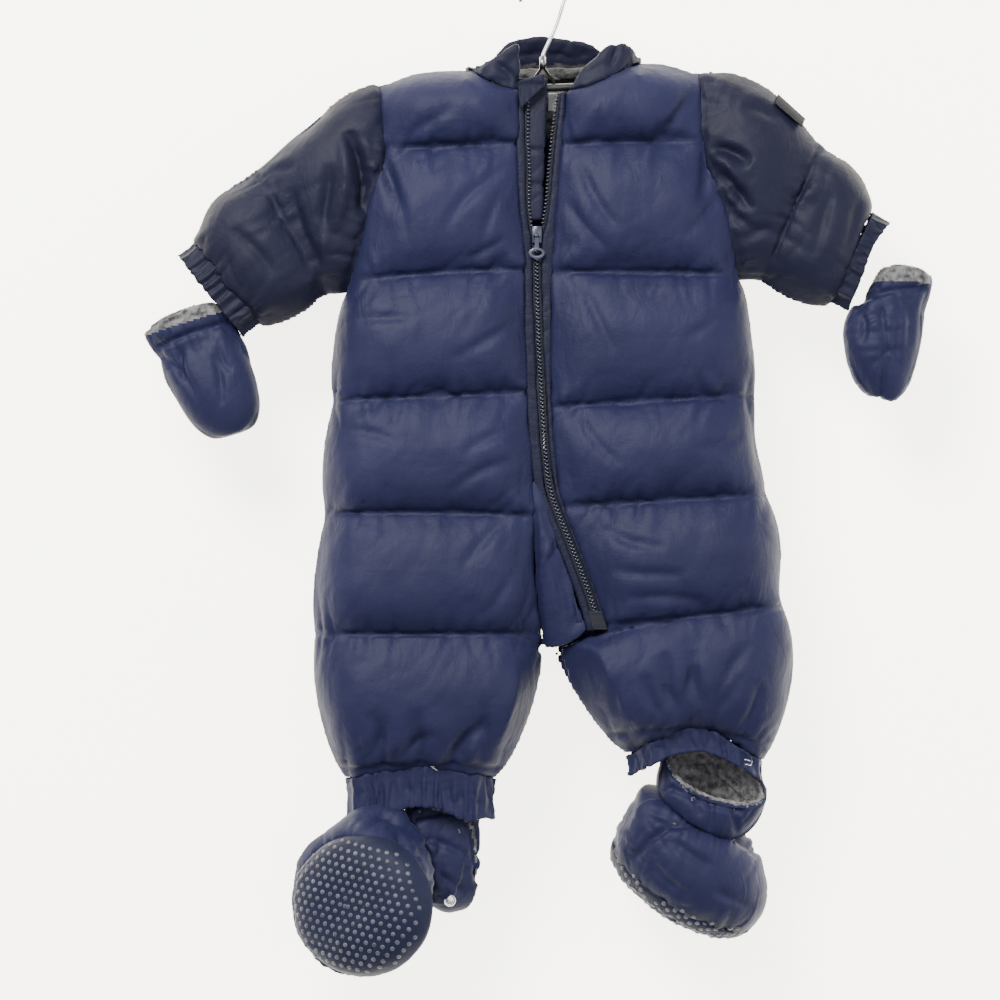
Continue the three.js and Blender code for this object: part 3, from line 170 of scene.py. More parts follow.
def ramp(value, low, high):
    """0 below low, 1 above high, and smooth between."""
    t = np.clip((value - low) / (high - low), 0, 1)
    return t * t * (3 - 2 * t)


def smoothed(node, levels, voxel):
    """A node's solid as a fine mesh: joined, rounded but for its sharp edges, and made even if a voxel is given."""
    bm = bmesh.new()
    bm.from_mesh(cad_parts[node].data)
    bmesh.ops.remove_doubles(bm, verts=bm.verts, dist=2e-6)
    bmesh.ops.join_triangles(bm, faces=bm.faces, angle_face_threshold=0.7, angle_shape_threshold=1.6)
    crease = bm.edges.layers.float.new("crease_edge")
    for edge in bm.edges:
        if len(edge.link_faces) == 2 and edge.calc_face_angle(0) > math.radians(48):
            edge[crease] = 1
    piece = built(f"{node}_cloth", bm)
    round_off = piece.modifiers.new("round_off", "SUBSURF")
    round_off.levels = round_off.render_levels = levels
    if not voxel:
        return settle(piece)
    even = piece.modifiers.new("even", "REMESH")
    even.mode, even.voxel_size, even.use_smooth_shade = "VOXEL", voxel, True
    return settle(piece)


def settle(piece):
    """Makes a piece's modifiers part of its mesh."""
    depsgraph = bpy.context.evaluated_depsgraph_get()
    done = bpy.data.meshes.new_from_object(piece.evaluated_get(depsgraph))
    piece.modifiers.clear()
    piece.data = done
    return piece


def read_mesh(piece):
    """The piece's points and their normals, as arrays."""
    count = len(piece.data.vertices)
    points, normals = np.zeros(count * 3), np.zeros(count * 3)
    piece.data.vertices.foreach_get("co", points)
    piece.data.vertices.foreach_get("normal", normals)
    return points.reshape(-1, 3), normals.reshape(-1, 3)


def move_to(piece, points):
    """Moves the piece's points to new places."""
    piece.data.vertices.foreach_set("co", points.ravel())
    piece.data.update()


def push(piece, points, normals, height):
    """Moves each point along its normal by its height."""
    move_to(piece, points + normals * height[:, None])


def tree_of(piece):
    """The piece's faces, ready to be met by straight lines."""
    bm = bmesh.new()
    bm.from_mesh(piece.data)
    tree = BVHTree.FromBMesh(bm)
    bm.free()
    return tree


def feel(piece, points, normals, reach=0.06):
    """How thick the piece is below each point, and 1 where nothing of the piece is in front of it or 0 elsewhere."""
    tree = tree_of(piece)
    depth, air = np.full(len(points), reach), np.ones(len(points))
    for k, (p, n) in enumerate(zip(points, normals)):
        p, n = Vector(p), Vector(n)
        below = tree.ray_cast(p - n * 0.0004, -n, reach)[3]
        if below is not None:
            depth[k] = below
        if tree.ray_cast(p + n * 0.0006, n, reach)[3] is not None:
            air[k] = 0
    return depth, air


def spread(piece, values, times):
    """Values at the piece's points, each evened out with its neighbours'."""
    pairs = np.zeros(len(piece.data.edges) * 2, int)
    piece.data.edges.foreach_get("vertices", pairs)
    a, b = pairs.reshape(-1, 2).T
    count = np.bincount(a, minlength=len(values)) + np.bincount(b, minlength=len(values))
    for _ in range(times):
        total = np.bincount(a, values[b], len(values)) + np.bincount(b, values[a], len(values))
        values = 0.5 * values + 0.5 * total / np.maximum(count, 1)
    return values


def from_line(points, line):
    """Distance from each point to a line, and how far along it. A line of (x, z) places runs through front and back."""
    flat = points[:, [0, 2]] if len(line[0]) == 2 else points
    best, along, walked = np.full(len(points), 1e9), np.zeros(len(points)), 0.0
    for a, b in zip(line[:-1], line[1:]):
        a, b = np.array(a, float), np.array(b, float)
        length = np.linalg.norm(b - a)
        t = np.clip((flat - a) @ (b - a) / length**2, 0, 1)
        gap = np.linalg.norm(flat - a - t[:, None] * (b - a), axis=1)
        along = np.where(gap < best, walked + t * length, along)
        best = np.minimum(best, gap)
        walked += length
    return best, along


def puckers(points, lines, seed, pitch, reach, height):
    """Short gathers that cross each stitch line and fade away from it, uneven in size and spacing."""
    rise = np.zeros(len(points))
    for k, line in enumerate(lines):
        gap, along = from_line(points, line)
        front = np.sign(points[:, 1]) * 31
        strength = 0.35 + 0.65 * billow(along / (34 * MM) + front, np.zeros(len(along)), seed + k)
        fan = noise(along / (22 * MM) + front, gap / (30 * MM), seed + k + 0.3)
        folds = billow(along / pitch + 0.9 * fan + front, gap / (60 * MM), seed + k + 0.7)
        rise += height * strength * (folds - 0.45) * np.exp(-gap / reach) * ramp(gap, 0.5 * MM, 4 * MM)
    return rise


def drag_lines(points, folds):
    """Soft folds that run out from a seam. Each has its two ends, a width and a height, and tapers at both ends."""
    rise = np.zeros(len(points))
    flat = points[:, [0, 2]]
    for k, (x0, z0, x1, z1, width, height) in enumerate(folds):
        a, b = np.array((x0, z0)) * MM, np.array((x1, z1)) * MM
        span = b - a
        length = np.linalg.norm(span)
        t = (flat - a) @ span / length**2
        side = (flat - a) @ np.array((-span[1], span[0])) / length
        bend = 0.12 * length * np.sin(2.5 * np.clip(t, 0, 1) + k)
        near = np.exp(-(((side - bend) / (width * MM)) ** 2))
        rise += 1.7 * height * MM * near * np.sin(np.pi * np.clip(t, 0, 1)) ** 0.7
    return rise


def shell_cloth(name, dark, light, crinkle=1.0):
    """Fine polyester: a soft sheen, small crinkles in two directions and a tight plain weave."""
    mat, nodes, links = new_material(name)
    cloth = nodes["Principled BSDF"]
    cloth.inputs["Sheen Weight"].default_value = 0.03
    cloth.inputs["Sheen Roughness"].default_value = 0.35
    cloth.inputs["Sheen Tint"].default_value = (0.62, 0.68, 0.95, 1)
    cloth.inputs["Specular IOR Level"].default_value = 0.13
    place = nodes.new("ShaderNodeTexCoord")

    def field(kind, scale, stretch=(1, 1, 1), turn=0.0, **sizes):
        lay = nodes.new("ShaderNodeMapping")
        lay.inputs["Scale"].default_value = stretch
        lay.inputs["Rotation"].default_value = (0, turn, 0)
        texture = nodes.new(kind)
        texture.inputs["Scale"].default_value = scale
        for key, value in sizes.items():
            texture.inputs[key].default_value = value
        links.new(place.outputs["Object"], lay.inputs["Vector"])
        links.new(lay.outputs["Vector"], texture.inputs["Vector"])
        return texture

    tone = field("ShaderNodeTexNoise", 9, Detail=5, Roughness=0.6)
    shade = nodes.new("ShaderNodeValToRGB")
    shade.color_ramp.elements[0].position, shade.color_ramp.elements[1].position = 0.3, 0.72
    shade.color_ramp.elements[0].color = (*dark, 1)
    shade.color_ramp.elements[1].color = (*light, 1)
    links.new(tone.outputs["Fac"], shade.inputs["Fac"])
    links.new(shade.outputs["Color"], cloth.inputs["Base Color"])
    gloss = nodes.new("ShaderNodeMapRange")
    gloss.inputs["To Min"].default_value, gloss.inputs["To Max"].default_value = 0.48, 0.62
    links.new(tone.outputs["Fac"], gloss.inputs["Value"])
    links.new(gloss.outputs["Result"], cloth.inputs["Roughness"])

    def relief(texture, output, distance, strength, below=None):
        bump = nodes.new("ShaderNodeBump")
        bump.inputs["Distance"].default_value = distance
        bump.inputs["Strength"].default_value = strength
        links.new(texture.outputs[output], bump.inputs["Height"])
        if below:
            links.new(below.outputs["Normal"], bump.inputs["Normal"])
        return bump

    folds = field("ShaderNodeTexNoise", 70, (1, 1, 0.45), 0.5, Detail=3, Roughness=0.55, Distortion=1.4)
    cross = field("ShaderNodeTexNoise", 95, (0.5, 1, 1), 0.35, Detail=4, Roughness=0.6, Distortion=1.1)
    weave = field("ShaderNodeTexWave", 900, (1, 1, 1), 0.78)
    weave.inputs["Distortion"].default_value = 0.4
    first = relief(folds, "Fac", 1.4 * MM * crinkle, 0.5)
    second = relief(cross, "Fac", 0.6 * MM * crinkle, 0.5, first)
    fine = field("ShaderNodeTexNoise", 240, (0.6, 1, 1), -0.4, Detail=3, Roughness=0.6, Distortion=0.8)
    second = relief(fine, "Fac", 0.35 * MM * crinkle, 0.5, second)
    third = relief(weave, "Fac", 0.05 * MM, 0.35, second)
    links.new(third.outputs["Normal"], cloth.inputs["Normal"])
    return mat


navy = shell_cloth("navy_polyester", (0.0086, 0.0096, 0.0325), (0.011, 0.0122, 0.04))
dark_navy = shell_cloth("dark_navy_polyester", (0.0056, 0.0061, 0.017), (0.007, 0.0077, 0.021))


def finish(piece, nodes, material, slot, body=BODY):
    """Gives a piece its cloth, its place in the garment and the nodes that it stands for."""
    if not piece.data.materials:
        piece.data.materials.append(material)
    piece.data.shade_smooth()
    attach(piece, body)
    if nodes:
        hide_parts(*nodes)
    return piece


def quilt_line(node, outer, inner, rise):
    """A stitch line across a panel, from its side to its inner edge."""
    low, high = (p.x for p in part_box(node))
    start, end = (low, high) if node.endswith("right") else (high, low)
    shares = [k / 8 for k in range(9)]
    return [
        (start + (end - start) * u, (outer + (inner - outer) * u + rise * math.sin(math.pi * u)) * MM)
        for u in shares
    ]


# Creases the photograph shows on the fronts, in millimetres: x, z, x, z, width, height.
DRAGS = {
    "front_right": [
        (-88, -606, -90, -556, 5.5, -2.8), (-66, -606, -44, -566, 5, -2.6), (-110, -606, -134, -560, 5, -2.4),
        (-28, -150, -70, -205, 4.5, -1.9), (-22, -168, -48, -222, 3.5, -1.6), (-60, -112, -110, -126, 5, -1.4),
        (-125, -130, -118, -190, 5, -2.2), (-128, -150, -100, -215, 4, -1.6), (-24, -262, -62, -300, 4, -1.6),
        (-20, -345, -58, -372, 4, -1.5), (-20, -375, -72, -398, 4, -1.4), (-24, -420, -64, -446, 4, -1.5),
        (-18, -455, -52, -486, 4, -1.5), (-112, -604, -78, -575, 4, -1.8), (-70, -606, -48, -560, 4, -2.0),
        (-95, -606, -92, -570, 3.5, -1.6), (-135, -598, -118, -560, 4, -1.6), (-55, -600, -40, -548, 3.5, -1.8),
        (-140, -262, -96, -272, 4, -1.4), (-150, -350, -108, -362, 4, -1.4), (-30, -200, -58, -224, 3, -1.4),
    ],
    "front_left": [
        (118, -556, 116, -512, 5, -2.6), (134, -560, 150, -506, 5, -2.4), (98, -556, 84, -516, 5, -2.4),
        (26, -148, 62, -196, 4, -1.8), (22, -172, 48, -216, 3.5, -1.5), (118, -100, 84, -128, 4.5, -1.8),
        (126, -130, 108, -186, 5, -2.0), (132, -160, 104, -206, 4, -1.6), (22, -246, 58, -288, 4, -1.6),
        (24, -340, 64, -372, 4, -1.5), (46, -418, 92, -436, 4, -1.7), (54, -446, 104, -462, 4, -1.6),
        (62, -470, 118, -484, 4, -1.5), (90, -562, 76, -530, 4, -1.8), (110, -560, 108, -524, 4, -1.8),
        (130, -566, 142, -528, 4, -1.8), (148, -572, 160, -536, 3.5, -1.8), (100, -566, 92, -538, 3, -1.4),
        (142, -260, 102, -276, 4, -1.4), (150, -350, 112, -360, 4, -1.4), (60, -560, 50, -534, 3.5, -1.6),
    ],
    "back_right": [
        (-120, -130, -100, -190, 5, -1.9), (-40, -150, -76, -204, 4.5, -1.6), (-30, -345, -70, -380, 4, -1.5),
        (-112, -604, -80, -572, 4, -1.8), (-72, -606, -52, -560, 4, -1.8), (-24, -452, -60, -488, 4, -1.5),
    ],
    "back_left": [
        (124, -132, 102, -188, 5, -1.9), (36, -150, 70, -206, 4.5, -1.6), (30, -350, 72, -384, 4, -1.5),
        (100, -580, 84, -540, 4, -1.8), (138, -584, 148, -540, 4, -1.8), (28, -450, 66, -486, 4, -1.5),
    ],
}


def cover(node, seams, folds, seed, voxel=SHELL_VOXEL, pitch=8.5, height=5.2, reach=16, sag=1.0, wall=(1.5, 5), face=0,
          swell=0.9, reshape=None, draw=1.2):
    """A padded piece's cloth, puckered along its seams, creased, and sagging a little on its outer side."""
    piece = smoothed(node, 2 if voxel else 3, voxel)
    if reshape:
        reshape(piece)
    points, normals = read_mesh(piece)
    depth, air = feel(piece, points, normals)
    if face:
        outside = ramp(normals[:, 1] * face, -0.35, 0.05) * ramp(np.abs(points[:, 1]), 3 * MM, 11 * MM)
    else:
        outside = ramp(spread(piece, air, 5), 0.35, 0.9)
    full = outside * ramp(spread(piece, depth, 2), wall[0] * MM, wall[1] * MM)
    x, y, z = points.T
    near = np.full(len(points), 1.0)
    for line in seams:
        near = np.minimum(near, from_line(points, line)[0])
    side = np.sign(y) * 7
    soft = 1.2 * noise(x / (46 * MM) + side, z / (30 * MM), seed)
    soft += 0.7 * noise(x / (19 * MM) + side, z / (15 * MM), seed + 5)
    lean = (x - 0.7 * z) / (13 * MM) + side
    creased = billow(lean + 0.8 * noise(x / (30 * MM), z / (30 * MM), seed + 3), (z + x) / (48 * MM), seed + 9) - 0.72
    crumple = 2.6 * creased * (0.12 + 0.88 * np.exp(-near / (16 * MM)))
    gathers = puckers(points, seams, 10 * seed + 2, pitch * MM, reach * MM, height * MM)
    creases = drag_lines(points, folds) - draw * MM * np.exp(-((near / (2.6 * MM)) ** 2))
    push(piece, points, normals, swell * MM + full * (sag * MM * (soft + crumple) + gathers + creases))
    return piece


shell = {}
for seed, (node, lines) in enumerate(STITCH_LINES.items()):
    hem = (-606, -606, 6) if node.endswith("right") else (-594, -590, 20)
    seams = [quilt_line(node, *line) for line in lines + [hem]]
    panel = cover(node, seams, DRAGS[node], seed, face=-1 if node.startswith("front") else 1)
    shell[node] = finish(panel, [node], navy, "shell_navy")

# The shell's stitching: one row of navy thread along every quilt line, drawn down into the filling, on the front and
# on the back alike.


def steps(line, pitch):
    """Places at an even pitch along a line, each with the line's direction there."""
    walked, due = 0.0, pitch / 2
    for a, b in zip(line[:-1], line[1:]):
        a, b = Vector(a), Vector(b)
        length = (b - a).length
        while due <= walked + length:
            yield a + (b - a) * ((due - walked) / length), (b - a) / length
            due += pitch
        walked += length


def many(name, shape, places):
    """One object made of a small shape set down at many places."""
    corners = np.array([v.co[:] for v in shape.verts])
    faces = np.array([[v.index for v in f.verts] for f in shape.faces])
    spots = [corners @ np.array(p.to_3x3()).T + np.array(p.translation) for p in places]
    sets = [faces + k * len(corners) for k in range(len(spots))]
    piece = bpy.data.objects.new(name, bpy.data.meshes.new(name))
    piece.data.from_pydata(np.concatenate(spots).tolist(), [], np.concatenate(sets).tolist())
    scene.collection.objects.link(piece)
    return piece


def bead(long, wide, high):
    """A small rounded grain, such as a stitch or a tooth of a zip."""
    bm = bmesh.new()
    bmesh.ops.create_icosphere(bm, subdivisions=1, radius=0.5)
    bmesh.ops.scale(bm, verts=bm.verts, vec=(long, wide, high))
    bm.verts.ensure_lookup_table()
    bm.verts.index_update()
    return bm


def laid_on(trees, x, z, along, side=-1, sink=0.0):
    """The place where a straight line from the front (or the back) meets the nearest of some pieces, or None."""
    hits = [tree.ray_cast(Vector((x, side * 0.3, z)), Vector((0, -side, 0)), 0.6) for tree in trees]
    hits = [hit for hit in hits if hit[0] is not None]
    if not hits:
        return None
    spot, normal = min(hits, key=lambda hit: hit[3])[:2]
    tangent = Vector((along[0], 0, along[1]))
    tangent = (tangent - normal * tangent.dot(normal)).normalized()
    place = Matrix((tangent, normal.cross(tangent), normal)).transposed().to_4x4()
    place.translation = spot - normal * sink
    return place


def stitched(piece, lines, pitch, side=-1, sink=0.1):
    """Places for a row of stitches along each line, on the piece's front or its back."""
    trees = [tree_of(piece)]
    spots = [laid_on(trees, x, z, along, side, sink * MM) for line in lines for (x, z), along in steps(line, pitch * MM)]
    return [spot for spot in spots if spot]


def thread(name, colour):
    """Twisted polyester thread with a slight gloss."""
    mat, nodes, links = new_material(name)
    yarn = nodes["Principled BSDF"]
    yarn.inputs["Base Color"].default_value = (*colour, 1)
    yarn.inputs["Roughness"].default_value = 0.7
    yarn.inputs["Specular IOR Level"].default_value = 0.15
    yarn.inputs["Sheen Weight"].default_value = 0.03
    place, twist, bump = nodes.new("ShaderNodeTexCoord"), nodes.new("ShaderNodeTexWave"), nodes.new("ShaderNodeBump")
    twist.inputs["Scale"].default_value = 1600
    bump.inputs["Distance"].default_value, bump.inputs["Strength"].default_value = 0.08 * MM, 0.6
    links.new(place.outputs["Object"], twist.inputs["Vector"])
    links.new(twist.outputs["Fac"], bump.inputs["Height"])
    links.new(bump.outputs["Normal"], yarn.inputs["Normal"])
    return mat


navy_thread = thread("navy_thread", (0.005, 0.006, 0.018))
white_thread = thread("white_thread", (0.75, 0.75, 0.72))
stitches = []
for node, lines in STITCH_LINES.items():
    side = -1 if node.startswith("front") else 1
    stitches += stitched(shell[node], [quilt_line(node, *line) for line in lines], 3.6, side)
finish(many("quilting_thread", bead(2.7 * MM, 0.5 * MM, 0.45 * MM), stitches), [], navy_thread, "shell_navy")

# The sleeves: darker and duller polyester over the same filling, set into the armholes and quilted once across above
# the elbow. Where they hang from the shoulder they fold under the arm.
SLEEVES = {
    "sleeve_right": {
        "quilted": [(-0.214, -0.158), (-0.199, -0.182), (-0.182, -0.211), (-0.166, -0.241)],
        "armhole": line_seen((378, 75), (384, 112), (385, 150), (372, 205), (345, 285)),
        "hem": line_seen((185, 240), (222, 285), (262, 322)),
        "tucks": {"armhole": ((5, 0), 13), "hem": ((-3.2, -3.0), 10)},
        "folds": [
            (-146, -124, -139, -190, 4.5, -7), (-157, -132, -152, -200, 4, 3), (-166, -150, -158, -206, 4, -2.8),
            (-190, -168, -160, -224, 4.5, -2.6), (-206, -150, -184, -150, 4, -1.6), (-196, -120, -160, -108, 5, -1.6),
            (-232, -196, -206, -236, 4, -1.8), (-172, -190, -164, -226, 3.5, 1.6), (-130, -150, -134, -186, 3.5, -1.8),
            (-240, -214, -218, -246, 3, -1.4),
        ],
    },
    "sleeve_left": {
        "quilted": [(0.207, -0.137), (0.196, -0.166), (0.181, -0.2), (0.167, -0.231)],
        "armhole": line_seen((701, 61), (703, 134), (708, 156), (719, 181), (742, 268)),
        "hem": line_seen((895, 235), (868, 265), (838, 306)),
        "tucks": {"armhole": ((-5, 0), 13), "hem": ((5.4, -2.8), 12)},
        "folds": [
            (126, -136, 154, -152, 4, -5), (128, -146, 150, -166, 3.5, 2.4), (129, -158, 160, -180, 4, -4.4),
            (134, -176, 160, -196, 4, -2.4), (176, -118, 150, -104, 5, -1.6), (222, -172, 196, -216, 4.5, -1.8),
            (238, -176, 220, -214, 3.5, -1.6), (150, -210, 172, -196, 4, -1.8), (206, -160, 186, -192, 4, 1.5),
        ],
    },
}


def tuck(edges):
    """Lays the ends of a piece a little way under their neighbours, as a seam allowance does."""

    def shift(piece):
        points, _ = read_mesh(piece)
        moved = points.copy()
        for line, (dx, dz), reach in edges:
            share = np.exp(-((from_line(points, line)[0] / (reach * MM)) ** 2))
            moved[:, 0] += dx * MM * share
            moved[:, 2] += dz * MM * share
        move_to(piece, moved)

    return shift


stitches = []
for seed, (node, cut) in enumerate(SLEEVES.items()):
    seams = [cut["quilted"], cut["armhole"], cut["hem"]]
    tucks = [(cut[edge], *how) for edge, how in cut["tucks"].items()]
    sleeve = cover(node, seams, cut["folds"], 20 + seed, 2.4 * MM, pitch=7.0, reach=13, reshape=tuck(tucks))
    finish(sleeve, [node], dark_navy, "shell_dark_navy")
    for side in (-1, 1):
        stitches += stitched(sleeve, seams[:1], 3.4, side)
sleeve_thread = many("sleeve_quilting_thread", bead(2.6 * MM, 0.5 * MM, 0.45 * MM), stitches)
finish(sleeve_thread, [], navy_thread, "shell_dark_navy")

# The rubber badge by the left shoulder is bare: a thin moulded patch with a low rim, sewn to the sleeve.


def hard_part(node, edge):
    """A stiff part's own shape with its edges just rounded."""
    bm = bmesh.new()
    bm.from_mesh(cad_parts[node].data)
    bmesh.ops.remove_doubles(bm, verts=bm.verts, dist=2e-6)
    bmesh.ops.join_triangles(bm, faces=bm.faces, angle_face_threshold=0.05, angle_shape_threshold=3.2)
    part = built(f"{node}_part", bm)
    if edge:
        rounding = part.modifiers.new("rounding", "BEVEL")
        rounding.width, rounding.segments, rounding.angle_limit = edge, 2, math.radians(38)
        settle(part)
    return part


def stuff(name, colour, roughness, metallic=0.0, grain=400, relief=0.05 * MM, second=None, gloss=0.5):
    """A hard or moulded material with uneven colour, gloss and a fine surface grain."""
    mat, nodes, links = new_material(name)
    body = nodes["Principled BSDF"]
    body.inputs["Metallic"].default_value = metallic
    body.inputs["Specular IOR Level"].default_value = gloss
    place, fine, wide = (nodes.new(f"ShaderNode{kind}") for kind in ("TexCoord", "TexNoise", "TexNoise"))
    fine.inputs["Scale"].default_value, wide.inputs["Scale"].default_value = grain, grain / 9
    fine.inputs["Detail"].default_value = wide.inputs["Detail"].default_value = 4
    tint, rough, bump = (nodes.new(f"ShaderNode{kind}") for kind in ("ValToRGB", "MapRange", "Bump"))
    tint.color_ramp.elements[0].position, tint.color_ramp.elements[1].position = 0.35, 0.65
    tint.color_ramp.elements[0].color = (*(c * 0.8 for c in colour), 1)
    tint.color_ramp.elements[1].color = (*(second or (c * 1.2 for c in colour)), 1)
    rough.inputs["To Min"].default_value, rough.inputs["To Max"].default_value = roughness * 0.8, roughness * 1.2
    bump.inputs["Distance"].default_value, bump.inputs["Strength"].default_value = relief, 0.6
    for texture in (fine, wide):
        links.new(place.outputs["Object"], texture.inputs["Vector"])
    links.new(wide.outputs["Fac"], tint.inputs["Fac"])
    links.new(tint.outputs["Color"], body.inputs["Base Color"])
    links.new(wide.outputs["Fac"], rough.inputs["Value"])
    links.new(rough.outputs["Result"], body.inputs["Roughness"])
    links.new(fine.outputs["Fac"], bump.inputs["Height"])
    links.new(bump.outputs["Normal"], body.inputs["Normal"])
    return mat


badge_rubber = stuff("badge_rubber", (0.003, 0.0034, 0.009), 0.7, grain=900, gloss=0.1)
finish(hard_part("sleeve_patch", 0.3 * MM), ["sleeve_patch"], badge_rubber, "shell_dark_navy")

# The elastic ends: a tube of shell cloth over elastic, gathered tight at the wrists and at the ankles. The gathers
# run along the arm or the leg and are uneven in size.
BANDS = {
    "cuff_right": {"flat": (0.028, 0.165), "across": (0.685, -0.729),
                   "tucks": [(SLEEVES["sleeve_right"]["hem"], (2.2, 2.0), 6)]},
    "cuff_left": {"flat": (0.024, 0.15), "across": (-0.447, -0.894),
                  "tucks": [(SLEEVES["sleeve_left"]["hem"], (-4.2, 2.0), 7)]},
    "leg_cuff_right": {"flat": (0.04, 0.26), "across": (1.0, -0.1),
                       "tucks": [(line_seen((346, 770), (490, 776)), (0, 2.5), 7),
                                 (line_seen((360, 806), (470, 808)), (0, -9), 10)]},
    "leg_cuff_left": {"flat": (0.024, 0.235), "across": (1.0, 0.05),
                      "tucks": [(line_seen((618, 745), (658, 725), (699, 723), (749, 731), (769, 751)), (0, 2.5), 7)]},
}
bands = {}
for seed, (node, cut) in enumerate(BANDS.items()):
    at_ankle = node.startswith("leg")
    pitch, deep = (4.6, 2.1) if at_ankle else (4.2, 1.9)
    cloth, slot = (navy, "shell_navy") if at_ankle else (dark_navy, "shell_dark_navy")
    band = smoothed(node, 2, 1.2 * MM)
    tuck(cut["tucks"])(band)
    points, normals = read_mesh(band)
    air = feel(band, points, normals)[1]
    ux, uz = cut["across"]
    width = (points[:, 0] * ux + points[:, 2] * uz) / math.hypot(ux, uz)
    down = (points[:, 2] * ux - points[:, 0] * uz) / math.hypot(ux, uz)
    side = np.sign(points[:, 1]) * 13
    wander = 0.5 * noise(width / (12 * MM) + side, down / (9 * MM), 40 + seed)
    ribs = billow(width / (pitch * MM) + side + wander, down / (34 * MM), 50 + seed) - 0.6
    rows = 0.35 * np.cos(down / (6.5 * MM) * 2 * math.pi)
    push(band, points, normals, spread(band, air, 3) * deep * MM * (ribs + 0.3 * rows * ribs))
    bands[node] = finish(band, [node], cloth, slot)

# The crotch gusset: a single wedge of shell cloth between the right leg and the zip, sewn in along both sides.
gusset_folds = [(4, -440, 10, -500, 3.5, -1.6), (18, -446, 26, -500, 3.5, -1.4), (2, -420, -2, -480, 3, 1.3)]
gusset_seams = [[(-0.006, -0.41), (-0.005, -0.46), (0, -0.51)], [(0.0, -0.41), (0.014, -0.45), (0.034, -0.505)]]


def reach_up(piece):
    """Carries the gusset's top on behind the placket, where it is caught in the seam."""
    points, _ = read_mesh(piece)
    share = ramp(points[:, 2], -0.44, -0.408)
    points[:, 2] += 24 * MM * share
    points[:, 0] -= 3 * MM * share
    move_to(piece, points)


gusset = cover("crotch_gusset", gusset_seams, gusset_folds, 31, 1.5 * MM, pitch=5.5, height=1.2, reach=8, sag=0.6,
               wall=(0.5, 1.5), swell=0.4, reshape=reach_up)
finish(gusset, ["crotch_gusset"], navy, "shell_navy")

# The zip: a coil zip on two woven tapes, between two padded placket strips that are stitched down along both of
# their edges. Its teeth stand open above the slider and mesh below it.
CHAIN = [
    (-95, -10.5, 10.5), (-131, -10.8, 5.8), (-155, -9.5, 3.5), (-178, -10.2, 1.8), (-196, -8, -1), (-203, -4.8, -4.2),
    (-228, -4.8, -4.8), (-251, -4.5, -4.5), (-290, -3, -3), (-326, -1, -1), (-360, 1, 1), (-386, 3.5, 3.5),
    (-400, 7, 7), (-418, 14, 14), (-435, 21, 21), (-464, 32, 32), (-480, 37.5, 37.5), (-497.5, 42.5, 42.5),
]


def chain_line(side):
    """One side's edge of the chain, from its top to its end."""
    return [((x_right if side == "right" else x_left) * MM, z * MM) for z, x_right, x_left in CHAIN]


def tape_cloth(name, colour, ribs, relief):
    """Woven tape or label cloth with fine ribs across it."""
    mat = stuff(name, colour, 0.75, grain=260, relief=0.06 * MM, gloss=0.3)
    nodes, links = mat.node_tree.nodes, mat.node_tree.links
    weave, bump, place = nodes.new("ShaderNodeTexWave"), nodes.new("ShaderNodeBump"), nodes.new("ShaderNodeTexCoord")
    weave.bands_direction = "Z"
    weave.inputs["Scale"].default_value = ribs
    weave.inputs["Distortion"].default_value = 0.6
    bump.inputs["Distance"].default_value, bump.inputs["Strength"].default_value = relief, 0.7
    links.new(place.outputs["Object"], weave.inputs["Vector"])
    links.new(weave.outputs["Fac"], bump.inputs["Height"])
    links.new(nodes["Bump"].outputs["Normal"], bump.inputs["Normal"])
    links.new(bump.outputs["Normal"], nodes["Principled BSDF"].inputs["Normal"])
    return mat


tape_weave = tape_cloth("zip_tape_weave", (0.004, 0.0045, 0.011), 340, 0.12 * MM)
plackets, tapes = {}, {}
for seed, side in enumerate(("right", "left")):
    rim = cover(f"placket_{side}", [chain_line(side)], [], 33 + seed, 0.9 * MM, pitch=5.5, height=0.9, reach=9,
                sag=0.35, wall=(0.3, 1.2))
    plackets[side] = finish(rim, [f"placket_{side}"], dark_navy, "shell_dark_navy")
    tape = smoothed(f"zip_tape_{side}", 1, 0.85 * MM)
    tapes[side] = finish(tape, [f"zip_tape_{side}"], tape_weave, "shell_dark_navy")


def strip_edge(tree, x, z, outwards, widest=14):
    """How far out from x a strip still reaches at a height."""
    for k in range(widest * 4):
        if laid_on([tree], x + outwards * k * 0.25 * MM, z, (0, 1)) is None:
            return x + outwards * (k - 1) * 0.25 * MM
    return None


seams = []
for side, outwards in (("right", RIGHT), ("left", LEFT)):
    tree = tree_of(plackets[side])
    for (x, z), along in steps(chain_line(side), 3.1 * MM):
        near = x + outwards * 5.6 * MM
        seams.append(laid_on([tree], near, z, along, -1, 0.05 * MM))
        edge = strip_edge(tree, near, z, outwards)
        if edge is not None and abs(edge - near) > 2 * MM:
            seams.append(laid_on([tree], edge - outwards * 1.2 * MM, z, along, -1, 0.05 * MM))
topstitch = many("placket_topstitching", bead(2.2 * MM, 0.5 * MM, 0.42 * MM), [p for p in seams if p])
finish(topstitch, [], thread("dark_thread", (0.014, 0.016, 0.036)), "shell_dark_navy")

teeth = []
for side, outwards in (("right", RIGHT), ("left", LEFT)):
    tree = tree_of(tapes[side])
    for (x, z), _ in steps(chain_line(side), 2.9 * MM):
        if -0.2085 < z < -0.1955:
            continue
        z += 1.45 * MM if side == "left" else 0
        place = laid_on([tree], x + outwards * 1.2 * MM, z, (1, 0.12 * outwards))
        if place:
            place.translation = place.translation + Vector((-outwards * 0.7 * MM, -0.6 * MM, 0))
            teeth.append(place)
zip_teeth = many("zip_teeth", bead(3.1 * MM, 1.7 * MM, 2.3 * MM), teeth)
finish(zip_teeth, [], stuff("zip_nylon", (0.022, 0.025, 0.042), 0.25, grain=900, gloss=0.7), "shell_dark_navy")

